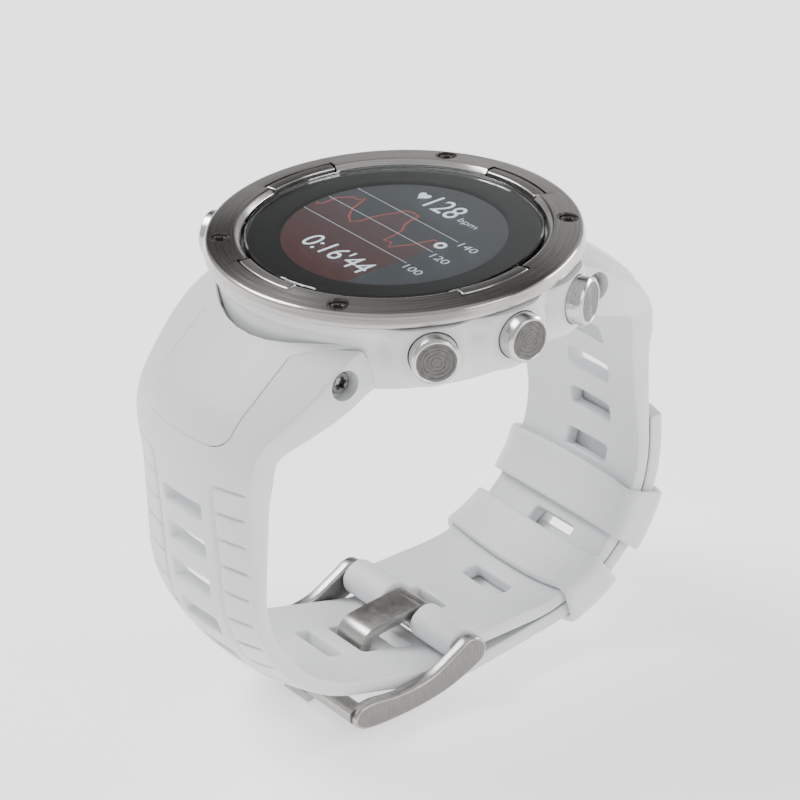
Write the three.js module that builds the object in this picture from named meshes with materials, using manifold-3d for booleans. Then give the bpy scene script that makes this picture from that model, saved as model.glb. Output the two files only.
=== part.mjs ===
// A GPS running watch with its strap buckled into a loop, in millimetres.
// The origin is the centre of the face that rests on the wrist. +Z points out of the dial,
// +X to three o'clock (the side with three buttons) and +Y to twelve o'clock.
import * as THREE from 'three';
import { mergeVertices } from 'three/addons/utils/BufferGeometryUtils.js';
import Module from 'manifold-3d';

// ---------- driving dimensions ----------

// Watch head
const bezelRadius = 23;
const bezelEdgeRound = 0.36; // how far the top edge stands in from the widest edge
const bezelInnerRadius = 18.4;
const bezelTopWidth = 3.54; // flat top, from the outer edge to the inner bevel
const thickness = 14.8; // wrist face to the highest ring of the bezel
const bezelHeight = 2.05;
const bezelCrown = 0.5; // rise of the bezel's top from its edge to its bevel
const caseWall = 3.5;
const caseInset = 1.5; // case wall inside the bezel's widest edge
const caseFlare = 0.9; // the case's rim under the bezel, outside its wall
const caseTaper = 1.4;
const backHeight = 2.8; // sensor bump below the case's flat back

// Fits
const gap = 0.3; // between pieces that rest on each other
const runningGap = 0.25; // between layers of the strap

// Glass, display and the ring of four tabs
const glassThickness = 1.3;
const glassDrop = 0.35; // glass face below the bezel's highest ring
const displayThickness = 1.3;
const tabHalfAngle = 14 * Math.PI / 180;
const tabWidth = 1.35;
const tabDrop = 0.35;

// Bezel screws
const bezelScrewAngle = 34.3 * Math.PI / 180; // from the twelve to six line
const bezelScrewInset = 2.1; // from the bezel's widest edge
const bezelScrewHead = 1.1;
const bezelScrewShank = 0.5;

// Back cover and sensor
const coverRadius = 16.6;
const coverPlate = 1.5;
const sensorRadius = 8;
const coverScrewRadius = 1.2;
const coverScrewInset = 2;
const gasketThickness = 0.35;
const contactRadius = 0.75;
const contactPitch = 2.6;

// Inside
const batteryRadius = 10.5;
const batteryThickness = 3.1;
const batteryShift = 2.5; // towards nine o'clock, beside the vibration motor
const motorRadius = 3.2;
const motorThickness = 2.7;
const boardThickness = 0.6;

// Buttons
const buttonRadius = 2.92;
const buttonDrop = 0.53; // bezel's lower edge to the top of a button
const buttonSpread = 27 * Math.PI / 180;
const buttonCapLength = 2.5;
const buttonReach = 2.5; // cap face outside the bezel's widest edge
const buttonStem = 0.85;
const buttonTravel = 0.6;
const sealWall = 0.35;

// Strap
const strapHalfWidth = 11.1;
const lugHalfWidth = 15;
const strapThickness = 1.9;
const lugThickness = 5.7;
const bendThickness = 3.5;
const strapReach = 7.8; // strap's side outside the bezel's widest edge
const loopDepth = 40.4; // wrist face to the outer face of the buckle strap's lowest run
const cornerRadius = 19.4;
const bendRadius = 7;
const shoulderRadius = 12;
const crown = 2; // raised middle of the upper strap
const crownHalfWidth = 7.6;
const tailTop = -18.2;
const slotLength = 7.2;
const slotWidth = 2.3;
const holePitch = 5.35; // slots of the hole strap
const slotsBelowTongue = 8;
const slotsAboveTongue = 8;
const ventPitch = 5.9; // slots of the buckle strap

// Lugs
const lugPlate = 2.2;
const lugPlateHalfWidth = 8.4;
const lugPlateTip = 30 * Math.PI / 180; // where the plate ends on the strap's bend
const lugCheek = 4.3; // strap beside the case at the lug screws
const lugScrewDepth = 2.4; // screw axis below the strap's outer face
const lugScrewHead = 1.35;
const lugScrewShank = 0.6;
const lugScrewLength = 7.4;
const lugScrewSink = 1.9; // head seat inside the lug's widest place
const insertRadius = 1.15;
const insertLength = 2.2;

// Buckle and keepers
const pinShift = 0.2; // pin axis towards twelve o'clock
const pinRise = 1; // pin axis above the buckle strap's lowest run
const pinRadius = 0.8;
const eyeRadius = 2.4;
const buckleArm = 1.6;
const buckleReach = 17; // pin axis to far bar axis
const farBarRoom = 0.9; // far bar to the strap's outer face
const farBarRadius = 1.1;
const tongueHalfWidth = 2.5;
const tongueThickness = 1.4;
const tonguePlay = 0.6; // between the tongue and the strap's two faces
const underPinBend = 12;
const keeperWall = 1.1;
const keeperWidth = 7.2;
const keeperAngles = [-64.5, -32];

// Facets round a full circle, from the case down to a screw's shank
const roundSteps = 40;
const plainSteps = 28;
const smallSteps = 16;
const tinySteps = 10;

// ---------- derived places ----------

const bezelTop = thickness;
const bezelEdge = bezelTop - bezelCrown;
const bezelBottom = bezelTop - bezelHeight;
const caseRadius = bezelRadius - caseInset;
const caseBore = caseRadius - caseWall;
const caseTop = bezelBottom - gap;
const buttonHeight = bezelBottom - buttonDrop - buttonRadius;
const caseBottom = backHeight;
const glassTop = bezelTop - glassDrop;
const glassBottom = glassTop - glassThickness;
const glassRadius = bezelInnerRadius - gap;
const shelfTop = glassBottom - 2 * gap - 0.4;
const shelfThickness = 1.1;
const shelfRadius = glassRadius - 2;
const ringGrooveFloor = buttonHeight + buttonStem + sealWall + 3 * gap;
const displayTop = glassBottom - gap;
const displayBottom = displayTop - displayThickness;
const boardTop = buttonHeight - 0.7;
const boardBottom = boardTop - boardThickness;
const batteryTop = boardBottom - gap;
const coverTop = caseBottom + 0.2;
const bossBottom = coverTop + gasketThickness + 2 * gap;
const bossHeight = 0.8;
const stemEnd = caseBore + 0.2;
const strapSide = bezelRadius + strapReach;
const buckleHalfWidth = strapHalfWidth + gap + buckleArm;
const pinPlace = new THREE.Vector2(pinShift, pinRise - loopDepth);
const lugScrewY = Math.sqrt((caseRadius + gap) ** 2 - (lugHalfWidth - lugCheek) ** 2);

const wasm = await Module();
wasm.setup();

// ---------- solids ----------

// A geometry as a closed solid whose faces point out.
function solid(geometry) {
  geometry.deleteAttribute('normal');
  geometry.deleteAttribute('uv');
  const merged = mergeVertices(geometry, 1e-5);
  const vertProperties = new Float32Array(merged.attributes.position.array);
  const triVerts = new Uint32Array(merged.index.array);
  if (signedVolume(vertProperties, triVerts) < 0) {
    triVerts.reverse();
  }
  return new wasm.Manifold(new wasm.Mesh({ numProp: 3, vertProperties, triVerts }));
}

function signedVolume(points, triangles) {
  const corner = (i) => new THREE.Vector3().fromArray(points, 3 * triangles[i]);
  let sum = 0;
  for (let i = 0; i < triangles.length; i += 3) {
    sum += corner(i).dot(corner(i + 1).cross(corner(i + 2)));
  }
  return sum;
}

function prism(shape, depth, divisions, right, up, along, start) {
  const geometry = new THREE.ExtrudeGeometry(shape, { depth, bevelEnabled: false, curveSegments: divisions });
  geometry.applyMatrix4(new THREE.Matrix4().makeBasis(right, up, along));
  geometry.translate(start.x, start.y, start.z);
  return solid(geometry);
}

const axisX = new THREE.Vector3(1, 0, 0);
const axisY = new THREE.Vector3(0, 1, 0);
const axisZ = new THREE.Vector3(0, 0, 1);

// A shape drawn in the YZ plane, from one X to another.
function alongX(shape, from, to, divisions = 8) {
  return prism(shape, to - from, divisions, axisY, axisZ, axisX, new THREE.Vector3(from, 0, 0));
}

// A shape drawn in the XZ plane, from one Y to another.
function alongY(shape, from, to, divisions = 8) {
  const backwards = axisY.clone().negate();
  return prism(shape, to - from, divisions, axisX, axisZ, backwards, new THREE.Vector3(0, to, 0));
}

// A shape drawn in the XY plane, from one Z to another.
function alongZ(shape, from, to, divisions = 8) {
  return prism(shape, to - from, divisions, axisX, axisY, axisZ, new THREE.Vector3(0, 0, from));
}

// A profile of [radius, z] pairs turned about Z.
function turned(profile, segments = plainSteps) {
  const points = profile.map(([radius, z]) => new THREE.Vector2(radius, z));
  points.push(points[0].clone());
  const geometry = new THREE.LatheGeometry(points, segments);
  geometry.rotateX(Math.PI / 2);
  return solid(geometry);
}

function ring(inner, outer, from, to, segments = plainSteps) {
  return turned([[inner, from], [outer, from], [outer, to], [inner, to]], segments);
}

function disc(radius, from, to, segments = plainSteps) {
  const geometry = new THREE.CylinderGeometry(radius, radius, to - from, segments);
  geometry.rotateX(Math.PI / 2);
  geometry.translate(0, 0, (from + to) / 2);
  return solid(geometry);
}

function box(width, depth, height) {
  return solid(new THREE.BoxGeometry(width, depth, height));
}

// A rod along X whose axis is at y, z.
function rodX(radius, from, to, y, z, segments = smallSteps) {
  return disc(radius, from, to, segments).rotate([0, 90, 0]).translate([0, y, z]);
}

function degrees(angle) {
  return angle * 180 / Math.PI;
}

// An annular sector about the origin of the plane that it is drawn in.
function sector(inner, outer, from, to) {
  const shape = new THREE.Shape();
  shape.absarc(0, 0, outer, from, to, false);
  shape.absarc(0, 0, inner, to, from, true);
  return shape;
}

function mirrored(body) {
  return body.mirror([0, 1, 0]);
}

// ---------- materials and assembly ----------

const finishes = {
  polymer: { color: '#e9ebed', roughness: 0.55, metalness: 0 },
  rubber: { color: '#eceef0', roughness: 0.7, metalness: 0 },
  steel: { color: '#a9a6a1', roughness: 0.35, metalness: 1 },
  darkSteel: { color: '#4c4a48', roughness: 0.4, metalness: 1 },
  glass: { color: '#101214', roughness: 0.05, metalness: 0 },
  display: { color: '#20262c', roughness: 0.3, metalness: 0 },
  seal: { color: '#1a1a1a', roughness: 0.8, metalness: 0 },
  board: { color: '#1d5a38', roughness: 0.6, metalness: 0 },
  cell: { color: '#8d9196', roughness: 0.5, metalness: 0.6 },
  gold: { color: '#c9a24a', roughness: 0.35, metalness: 1 },
  blackPlastic: { color: '#17181a', roughness: 0.5, metalness: 0 },
};

const watch = new THREE.Group();

function add(name, body, finish) {
  const mesh = body.getMesh();
  const geometry = new THREE.BufferGeometry();
  geometry.setAttribute('position', new THREE.BufferAttribute(mesh.vertProperties, 3));
  geometry.setIndex(new THREE.BufferAttribute(mesh.triVerts, 1));
  const part = new THREE.Mesh(geometry, new THREE.MeshStandardMaterial(finishes[finish]));
  part.name = name;
  watch.add(part);
}

// ---------- the run of the strap ----------

// A strap face is a belt drawn clockwise round circles, where u is the distance from the dial
// axis towards its own lug. Both straps share the shoulder, the bend and the lower corner.
const shoulder = { u: strapSide - 17.5, z: -2.4, r: shoulderRadius };
const bend = { u: strapSide - bendRadius, z: -4.15, r: bendRadius };
const corner = { u: strapSide - cornerRadius, z: cornerRadius - loopDepth, r: cornerRadius };
const underPin = {
  u: -pinPlace.x,
  z: pinPlace.y - eyeRadius - gap - strapThickness + underPinBend,
  r: underPinBend,
};
const farCorner = { u: -corner.u, z: corner.z, r: cornerRadius + runningGap + strapThickness };
const shoulderStart = 104 * Math.PI / 180;

function tangentAngle(from, to) {
  const du = to.u - from.u;
  const dz = to.z - from.z;
  return Math.atan2(dz, du) + Math.acos((from.r - to.r) / Math.hypot(du, dz));
}

function belt(circles, endAngle) {
  const path = new THREE.Path();
  let start = shoulderStart;
  circles.forEach((circle, i) => {
    let end = i + 1 < circles.length ? tangentAngle(circle, circles[i + 1]) : endAngle;
    while (end > start) {
      end -= 2 * Math.PI;
    }
    path.absarc(circle.u, circle.z, circle.r, start, end, true);
    start = end;
  });
  return path;
}

function thinned(circles, depths) {
  return circles.map((circle, i) => ({ ...circle, r: circle.r - depths[Math.min(i, depths.length - 1)] }));
}

const faceDepths = [lugThickness, bendThickness, strapThickness];
const arcSteps = 5;

// The outline between an outer and an inner face, each a path in u and z.
function bandShape(outer, inner, side) {
  const points = [...outer.getPoints(arcSteps), ...inner.getPoints(arcSteps).reverse()];
  return new THREE.Shape(points.map((point) => new THREE.Vector2(side * point.x, point.y)));
}

function buckleStrapPath(circles) {
  const path = belt(circles, -Math.PI / 2);
  path.lineTo(pinPlace.x, path.currentPoint.y);
  return path;
}

function holeStrapPath(circles) {
  const path = belt(circles, -Math.PI);
  path.lineTo(path.currentPoint.x, tailTop);
  return path;
}

const buckleCircles = [shoulder, bend, corner];
const holeCircles = [shoulder, bend, corner, underPin, farCorner];
const buckleOuter = buckleStrapPath(buckleCircles);
const holeOuter = holeStrapPath(holeCircles);

// The width of a strap seen along Y: wide at the lug, then narrowing to its own width.
function frontShape() {
  const waist = 6;
  const narrow = bend.z - 3.5;
  const bottom = -loopDepth - 3 * eyeRadius;
  const shape = new THREE.Shape();
  shape.moveTo(-lugHalfWidth, thickness);
  shape.lineTo(-lugHalfWidth, waist);
  shape.quadraticCurveTo(-strapHalfWidth - 1.1, waist - 5, -strapHalfWidth, narrow);
  shape.lineTo(-strapHalfWidth, bottom);
  shape.lineTo(strapHalfWidth, bottom);
  shape.lineTo(strapHalfWidth, narrow);
  shape.quadraticCurveTo(strapHalfWidth + 1.1, waist - 5, lugHalfWidth, waist);
  shape.lineTo(lugHalfWidth, thickness);
  return shape;
}

// The width of the upper strap seen from above, on the +Y side.
function planShape() {
  const root = bezelRadius - 9;
  const end = strapSide + 2;
  const shape = new THREE.Shape();
  shape.moveTo(-lugHalfWidth, root);
  shape.lineTo(lugHalfWidth, root);
  shape.quadraticCurveTo(lugHalfWidth - 1.5, bezelRadius - 2, strapHalfWidth + 1.1, strapSide);
  shape.lineTo(strapHalfWidth + 1.1, end);
  shape.lineTo(-strapHalfWidth - 1.1, end);
  shape.lineTo(-strapHalfWidth - 1.1, strapSide);
  shape.quadraticCurveTo(-lugHalfWidth + 1.5, bezelRadius - 2, -lugHalfWidth, root);
  return shape;
}

// The outline of a lug plate, seen from above: a waist that flares out to meet the case.
function lugOutline(clearance) {
  const half = lugPlateHalfWidth + clearance;
  const tip = strapSide + 2 * crown;
  const flare = lugHalfWidth - 2 + clearance;
  const root = bezelRadius - 8;
  const shape = new THREE.Shape();
  shape.moveTo(-flare, root);
  shape.lineTo(flare, root);
  shape.quadraticCurveTo(half, bezelRadius - 5, half, bezelRadius - 1.5);
  shape.lineTo(half - 0.5, tip);
  shape.lineTo(-half + 0.5, tip);
  shape.lineTo(-half, bezelRadius - 1.5);
  shape.quadraticCurveTo(-half, bezelRadius - 5, -flare, root);
  return shape;
}

// A slot cutter that stands square to the strap at a distance along its outer face.
function slotCutter(path, distance, side) {
  const at = path.getPointAt(distance / path.getLength());
  const heading = path.getTangentAt(distance / path.getLength());
  const angle = side * degrees(Math.atan2(heading.y, heading.x));
  const cutter = box(slotLength, slotWidth, 4 * strapThickness + 2 * crown);
  return cutter.rotate([angle, 0, 0]).translate([0, side * at.x, at.y]);
}

// How far along a path it first passes a given u below the loop's middle.
function distanceAt(path, u) {
  const length = path.getLength();
  let distance = 0;
  let point = path.getPointAt(0);
  while (point.y > corner.z || point.x > u) {
    distance += 0.05;
    point = path.getPointAt(distance / length);
  }
  return distance;
}

const tongueSlotU = 9.6 - pinPlace.x;
const tongueSlot = distanceAt(holeOuter, tongueSlotU);

const lugScrewZ = shoulder.z + Math.sqrt(shoulder.r ** 2 - (lugScrewY - shoulder.u) ** 2) - lugScrewDepth;

// A rod along X at the lug screws, on both sides of the strap.
function lugRods(radius, from, to) {
  const rod = rodX(radius, from, to, lugScrewY, lugScrewZ, tinySteps);
  return rod.add(rod.mirror([1, 0, 0]));
}

// The upper part that both straps share, on the +Y side: band, crown, lug pocket and bar hole.
function strapBlank(outer, circles, pathOf) {
  const inner = pathOf(thinned(circles, faceDepths));
  const raised = pathOf(thinned(circles, [-crown]));
  const wide = alongX(bandShape(outer, inner, 1), -lugHalfWidth, lugHalfWidth);
  const upperOnly = box(2 * crownHalfWidth, 60, 30).translate([0, 30 + corner.u, bend.z + 5]);
  const land = alongX(bandShape(raised, inner, 1), -crownHalfWidth, crownHalfWidth).intersect(upperOnly);
  const upper = alongZ(planShape(), bend.z, thickness);
  const lower = box(2 * lugHalfWidth, 200, 100).translate([0, 0, bend.z - 50]);
  const trim = alongY(frontShape(), -60, 60).intersect(upper.add(lower));
  const pocketEnd = lugPlateTip - gap / (bendRadius - lugPlate);
  const pocketFloor = belt(thinned([shoulder, bend], [lugPlate + gap]), pocketEnd);
  const pocketRoof = belt(thinned([shoulder, bend], [-2 * crown]), pocketEnd);
  const pocket = alongX(bandShape(pocketRoof, pocketFloor, 1), -lugHalfWidth, lugHalfWidth)
    .intersect(alongZ(lugOutline(gap), -20, 20));
  return wide.add(land).intersect(trim)
    .subtract(pocket)
    .subtract(lugRods(lugScrewShank + gap, 1, lugHalfWidth + 1))
    .subtract(lugRods(lugScrewHead + gap, lugHalfWidth - lugScrewSink - gap, lugHalfWidth + 1))
    .subtract(disc(caseRadius + gap, -20, 20, roundSteps));
}

// ---------- watch head ----------

// The case before it is hollowed, and the hollow: groove for the tab ring, shelf for the
// glass, and the bore down to the back cover's seat.
function caseOuterProfile() {
  const rim = caseRadius + caseFlare;
  return [
    [0, caseBottom],
    [caseRadius - caseTaper - 1, caseBottom],
    [caseRadius - caseTaper, caseBottom + 1],
    [caseRadius, caseBottom + 5],
    [caseRadius, caseTop - 2],
    [rim, caseTop - 1.2],
    [rim, caseTop + 4],
    [0, caseTop + 4],
  ];
}

function caseHollowProfile() {
  const grooveOuter = glassRadius + 2 * gap + tabWidth + 0.2;
  const grooveInner = glassRadius + 0.2;
  const seatTop = coverTop;
  return [
    [0, caseBottom - 9],
    [coverRadius + gap, caseBottom - 9],
    [coverRadius + gap, seatTop],
    [caseBore, seatTop],
    [caseBore, shelfTop - shelfThickness],
    [shelfRadius, shelfTop - shelfThickness],
    [shelfRadius, shelfTop],
    [grooveInner, shelfTop],
    [grooveInner, ringGrooveFloor],
    [grooveOuter, ringGrooveFloor],
    [grooveOuter, caseTop],
    [2 * bezelRadius, caseTop],
    [2 * bezelRadius, caseTop + 9],
    [0, caseTop + 9],
  ];
}

const buttonAngles = [-buttonSpread, 0, buttonSpread, Math.PI - buttonSpread, Math.PI + buttonSpread];
const capFace = bezelRadius + buttonReach;
const capBase = capFace - buttonCapLength;

// Something modelled along +Z, laid along the radius at a button.
function radial(body, angle) {
  return body.rotate([0, 90, degrees(angle)]).translate([0, 0, buttonHeight]);
}

const insertStart = lugHalfWidth - lugScrewSink - lugScrewLength - 0.7;

// The plate that runs out from the case over the strap, on the +Y side.
function lugTongue() {
  const outer = belt(thinned([shoulder, bend], [-crown]), lugPlateTip);
  const inner = belt(thinned([shoulder, bend], [lugPlate]), lugPlateTip);
  return alongX(bandShape(outer, inner, 1), -lugHalfWidth, lugHalfWidth)
    .intersect(alongZ(lugOutline(0), -20, 20));
}

function makeCase() {
  let body = turned(caseOuterProfile(), roundSteps);
  const bossRadius = buttonRadius + 1.2;
  for (const angle of buttonAngles) {
    body = body.add(radial(disc(bossRadius, caseBore + 1, capBase + 0.6, smallSteps), angle));
  }
  const tongue = lugTongue();
  body = body.add(tongue).add(mirrored(tongue)).subtract(turned(caseHollowProfile(), roundSteps));
  for (const angle of buttonAngles) {
    const capPocket = disc(buttonRadius + gap, capBase - buttonTravel - gap, capFace, smallSteps);
    const sealPocket = disc(buttonStem + gap + sealWall + gap, caseBore - 1, caseBore + 2.4, smallSteps);
    const stemHole = disc(buttonStem + gap, caseBore - 1, capFace, smallSteps);
    body = body.subtract(radial(capPocket.add(sealPocket).add(stemHole), angle));
  }
  for (const angle of screwAngles) {
    const place = polar(bezelRadius - bezelScrewInset, angle);
    const hole = disc(bezelScrewShank + gap, caseTop - 3.2, caseTop + 1, tinySteps);
    body = body.subtract(hole.translate([place.x, place.y, 0]));
  }
  for (const angle of coverScrewAngles) {
    const place = polar(coverRadius - coverScrewInset, angle);
    const bossTop = bossBottom + bossHeight;
    const boss = ring(bezelScrewShank + gap, coverScrewRadius + 0.5, bossBottom, bossTop, tinySteps);
    const webLength = caseBore + 0.5 - coverRadius + coverScrewInset;
    const webMiddle = coverRadius - coverScrewInset + webLength / 2;
    const web = box(webLength, 1.6, bossHeight).translate([webMiddle, 0, bossBottom + bossHeight / 2]);
    const webHole = disc(coverScrewRadius + 0.4, coverTop, bossBottom + 2 * bossHeight, tinySteps)
      .translate([coverRadius - coverScrewInset, 0, 0]);
    body = body.add(boss.translate([place.x, place.y, 0]));
    body = body.add(web.subtract(webHole).rotate([0, 0, degrees(angle)]));
  }
  const insertHoles = lugRods(insertRadius + gap, insertStart - gap, lugHalfWidth + 1);
  return body.subtract(insertHoles).subtract(mirrored(insertHoles));
}

function polar(radius, angle) {
  return new THREE.Vector2(radius * Math.cos(angle), radius * Math.sin(angle));
}

const quarter = Math.PI / 2;
const screwAngles = [1, -1].flatMap((end) => [
  end * quarter - bezelScrewAngle,
  end * quarter + bezelScrewAngle,
]);
const coverScrewAngles = [45, 135, 225, 315].map((angle) => angle * Math.PI / 180);

function makeBezel() {
  let body = turned([
    [bezelInnerRadius, bezelBottom],
    [bezelRadius, bezelBottom],
    [bezelRadius - bezelEdgeRound, bezelEdge],
    [bezelRadius - bezelEdgeRound - bezelTopWidth, bezelTop],
    [bezelInnerRadius, bezelTop - 0.3],
  ], roundSteps);
  const notchOuter = glassRadius + 2 * gap + tabWidth + 0.15;
  const notchHalf = tabHalfAngle + gap / bezelInnerRadius;
  for (let i = 0; i < 4; i += 1) {
    const notch = sector(glassRadius - 1, notchOuter, i * quarter - notchHalf, i * quarter + notchHalf);
    body = body.subtract(alongZ(notch, bezelBottom - 1, bezelTop + 1));
  }
  for (const angle of screwAngles) {
    const place = polar(bezelRadius - bezelScrewInset, angle);
    const counterbore = disc(bezelScrewHead + 0.2, bezelBottom + 0.7, bezelTop + 1, smallSteps);
    const hole = disc(bezelScrewShank + gap, bezelBottom - 1, bezelTop, tinySteps);
    body = body.subtract(counterbore.add(hole).translate([place.x, place.y, 0]));
  }
  return body;
}

function makeTabRing() {
  const inner = glassRadius + 1.5 * gap;
  const outer = inner + tabWidth;
  let body = ring(inner, outer, ringGrooveFloor + gap, caseTop - 0.1, roundSteps);
  for (let i = 0; i < 4; i += 1) {
    const tab = sector(inner, outer, i * quarter - tabHalfAngle, i * quarter + tabHalfAngle);
    body = body.add(alongZ(tab, ringGrooveFloor + gap, bezelTop - tabDrop));
  }
  return body;
}

function screw(head, headLength, shank, shankLength) {
  const body = disc(head, 0, headLength, smallSteps).add(disc(shank, -shankLength, 0.1, tinySteps));
  return body.subtract(disc(0.55 * head, headLength - 0.45, headLength + 1, 6));
}

function makeBackCover() {
  const plateBottom = coverTop - coverPlate;
  const cupRadius = sensorRadius + gap;
  let body = turned([
    [cupRadius, 0.25],
    [sensorRadius + 2.4, 0.25],
    [coverRadius - 3.6, plateBottom],
    [coverRadius, plateBottom + 0.4],
    [coverRadius, coverTop],
    [sensorRadius - 1, coverTop],
    [sensorRadius - 1, coverTop - 0.9],
    [cupRadius, coverTop - 0.9],
  ], plainSteps);
  for (const angle of coverScrewAngles) {
    const place = polar(coverRadius - coverScrewInset, angle);
    const through = disc(bezelScrewShank + gap, -1, coverTop + 1, tinySteps);
    const counterbore = disc(coverScrewRadius + 0.25, -1, plateBottom + 0.9, smallSteps);
    body = body.subtract(through.add(counterbore).translate([place.x, place.y, 0]));
  }
  contactPlaces.forEach((place) => {
    const hole = disc(contactRadius + gap, -1, coverTop + 1, tinySteps);
    body = body.subtract(hole.translate([place.x, place.y, 0]));
  });
  return body;
}

const contactRow = -(sensorRadius + 3.1);
const contactPlaces = [0, 1, 2, 3].map((i) => new THREE.Vector2((i - 1.5) * contactPitch, contactRow));

function makeBoard() {
  const body = disc(caseBore - gap, boardBottom, boardTop, roundSteps);
  return body.subtract(disc(1.2, boardBottom - 1, boardTop + 1, tinySteps).translate([0, 12, 0]));
}

add('case', makeCase(), 'polymer');
add('bezel', makeBezel(), 'steel');
add('tab_ring', makeTabRing(), 'darkSteel');
add('glass', turned([
  [0, glassBottom],
  [glassRadius, glassBottom],
  [glassRadius, glassTop - 0.3],
  [glassRadius - 0.3, glassTop],
  [0, glassTop],
], roundSteps), 'glass');
add('glass_gasket', ring(shelfRadius + 0.3, glassRadius - 0.3, shelfTop + gap, glassBottom - gap), 'seal');
add('display', disc(shelfRadius - gap, displayBottom, displayTop), 'display');
const frameTop = displayBottom - gap;
add('display_frame', ring(shelfRadius - 4, shelfRadius - gap, frameTop - 0.5, frameTop), 'blackPlastic');
add('main_board', makeBoard(), 'board');
const antennaArc = sector(caseBore - 2.2, caseBore - 0.7, quarter - 0.7, quarter + 0.7);
add('gps_antenna', alongZ(antennaArc, boardTop + gap, boardTop + gap + 1.3), 'gold');
const cell = disc(batteryRadius, batteryTop - batteryThickness, batteryTop, roundSteps);
add('battery', cell.translate([-batteryShift, 0, 0]), 'cell');
const motorX = batteryRadius - batteryShift + motorRadius + 1;
const motor = disc(motorRadius, batteryTop - motorThickness, batteryTop, plainSteps);
add('vibration_motor', motor.translate([motorX, 0, 0]), 'cell');
add('back_cover', makeBackCover(), 'polymer');
const gasketBottom = coverTop + gap;
const gasketTop = gasketBottom + gasketThickness;
add('back_gasket', ring(coverRadius - 0.4, caseBore - gap, gasketBottom, gasketTop), 'seal');
add('sensor_window', disc(sensorRadius, 0, coverTop - 1.2 - gap), 'glass');
add('sensor_board', disc(sensorRadius - 1 - gap, coverTop - 0.9, coverTop - 0.3, smallSteps), 'board');

screwAngles.forEach((angle, i) => {
  const place = polar(bezelRadius - bezelScrewInset, angle);
  const body = screw(bezelScrewHead, 0.75, bezelScrewShank, 2.6);
  add(`bezel_screw_${i + 1}`, body.translate([place.x, place.y, bezelBottom + 1]), 'darkSteel');
});

coverScrewAngles.forEach((angle, i) => {
  const place = polar(coverRadius - coverScrewInset, angle);
  const headSeat = coverTop - coverPlate + 0.9 - gap;
  const body = screw(coverScrewRadius, 0.7, bezelScrewShank, 1.9).mirror([0, 0, 1]);
  add(`back_screw_${i + 1}`, body.translate([place.x, place.y, headSeat]), 'steel');
});

contactPlaces.forEach((place, i) => {
  const pad = disc(contactRadius, 0.45, coverTop - 0.1, tinySteps);
  add(`charge_contact_${i + 1}`, pad.translate([place.x, place.y, 0]), 'gold');
});

buttonAngles.forEach((angle, i) => {
  const cap = turned([
    [0, capBase],
    [buttonRadius, capBase],
    [buttonRadius, capFace - 0.25],
    [buttonRadius - 0.25, capFace],
    [0, capFace],
  ], smallSteps);
  const stem = disc(buttonStem, stemEnd, capBase + 0.1, tinySteps);
  const sealOuter = buttonStem + gap + sealWall;
  const seal = ring(buttonStem + 0.25, sealOuter, caseBore + 0.9, caseBore + 2.1, smallSteps);
  const switchFace = stemEnd - buttonTravel - gap;
  const switchBox = box(1.4, 3, 1.7).translate([0, 0, switchFace - 0.85]);
  add(`button_${i + 1}`, radial(cap.add(stem), angle), 'darkSteel');
  add(`button_seal_${i + 1}`, radial(seal, angle), 'seal');
  add(`button_switch_${i + 1}`, radial(switchBox, angle).translate([0, 0, 0.3]), 'blackPlastic');
});

// ---------- strap ----------

function makeBuckleStrap() {
  const blank = strapBlank(buckleOuter, buckleCircles, buckleStrapPath);
  const eye = rodX(eyeRadius, -strapHalfWidth, strapHalfWidth, pinPlace.x, pinPlace.y, smallSteps);
  let body = blank.add(eye);
  body = body.subtract(rodX(pinRadius + gap, -20, 20, pinPlace.x, pinPlace.y));
  const tongueRoom = box(2 * (tongueHalfWidth + gap), 2 * (eyeRadius + gap) + 3, 4 * eyeRadius)
    .translate([0, pinPlace.x - 0.5, pinPlace.y]);
  body = body.subtract(tongueRoom);
  const first = distanceAt(buckleOuter, strapSide) - 2 * ventPitch - 0.5;
  const last = buckleOuter.getLength() - 9;
  for (let distance = first; distance < last; distance += ventPitch) {
    body = body.subtract(slotCutter(buckleOuter, distance, 1));
  }
  return body;
}

function makeHoleStrap() {
  let body = mirrored(strapBlank(holeOuter, holeCircles, holeStrapPath));
  for (let i = -slotsAboveTongue; i <= slotsBelowTongue; i += 1) {
    const distance = tongueSlot + i * holePitch;
    body = body.subtract(slotCutter(holeOuter, distance, -1));
  }
  return body;
}

add('strap_12', makeBuckleStrap(), 'rubber');
add('strap_6', makeHoleStrap(), 'rubber');

[1, -1].forEach((side, i) => {
  [1, -1].forEach((end, j) => {
    const number = 2 * i + j + 1;
    const bush = ring(lugScrewShank + gap, insertRadius, insertStart, insertStart + insertLength, tinySteps);
    const body = screw(lugScrewHead, 0.9, lugScrewShank, lugScrewLength);
    const place = [0, side * lugScrewY, lugScrewZ];
    add(`lug_insert_${number}`, bush.rotate([0, 90 * end, 0]).translate(place), 'steel');
    const seat = [end * (lugHalfWidth - lugScrewSink), place[1], place[2]];
    add(`lug_screw_${number}`, body.rotate([0, 90 * end, 0]).translate(seat), 'darkSteel');
  });
});

// ---------- buckle, tongue and keepers ----------

// The far bar lies across the outer face of the hole strap.
function farBarPlace() {
  const share = distanceAt(holeOuter, buckleReach - pinPlace.x) / holeOuter.getLength();
  const at = holeOuter.getPointAt(share);
  const heading = holeOuter.getTangentAt(share);
  const outwards = new THREE.Vector2(heading.y, heading.x).multiplyScalar(farBarRadius + farBarRoom);
  return new THREE.Vector2(-at.x, at.y).add(outwards);
}

const farBar = farBarPlace();


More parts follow.
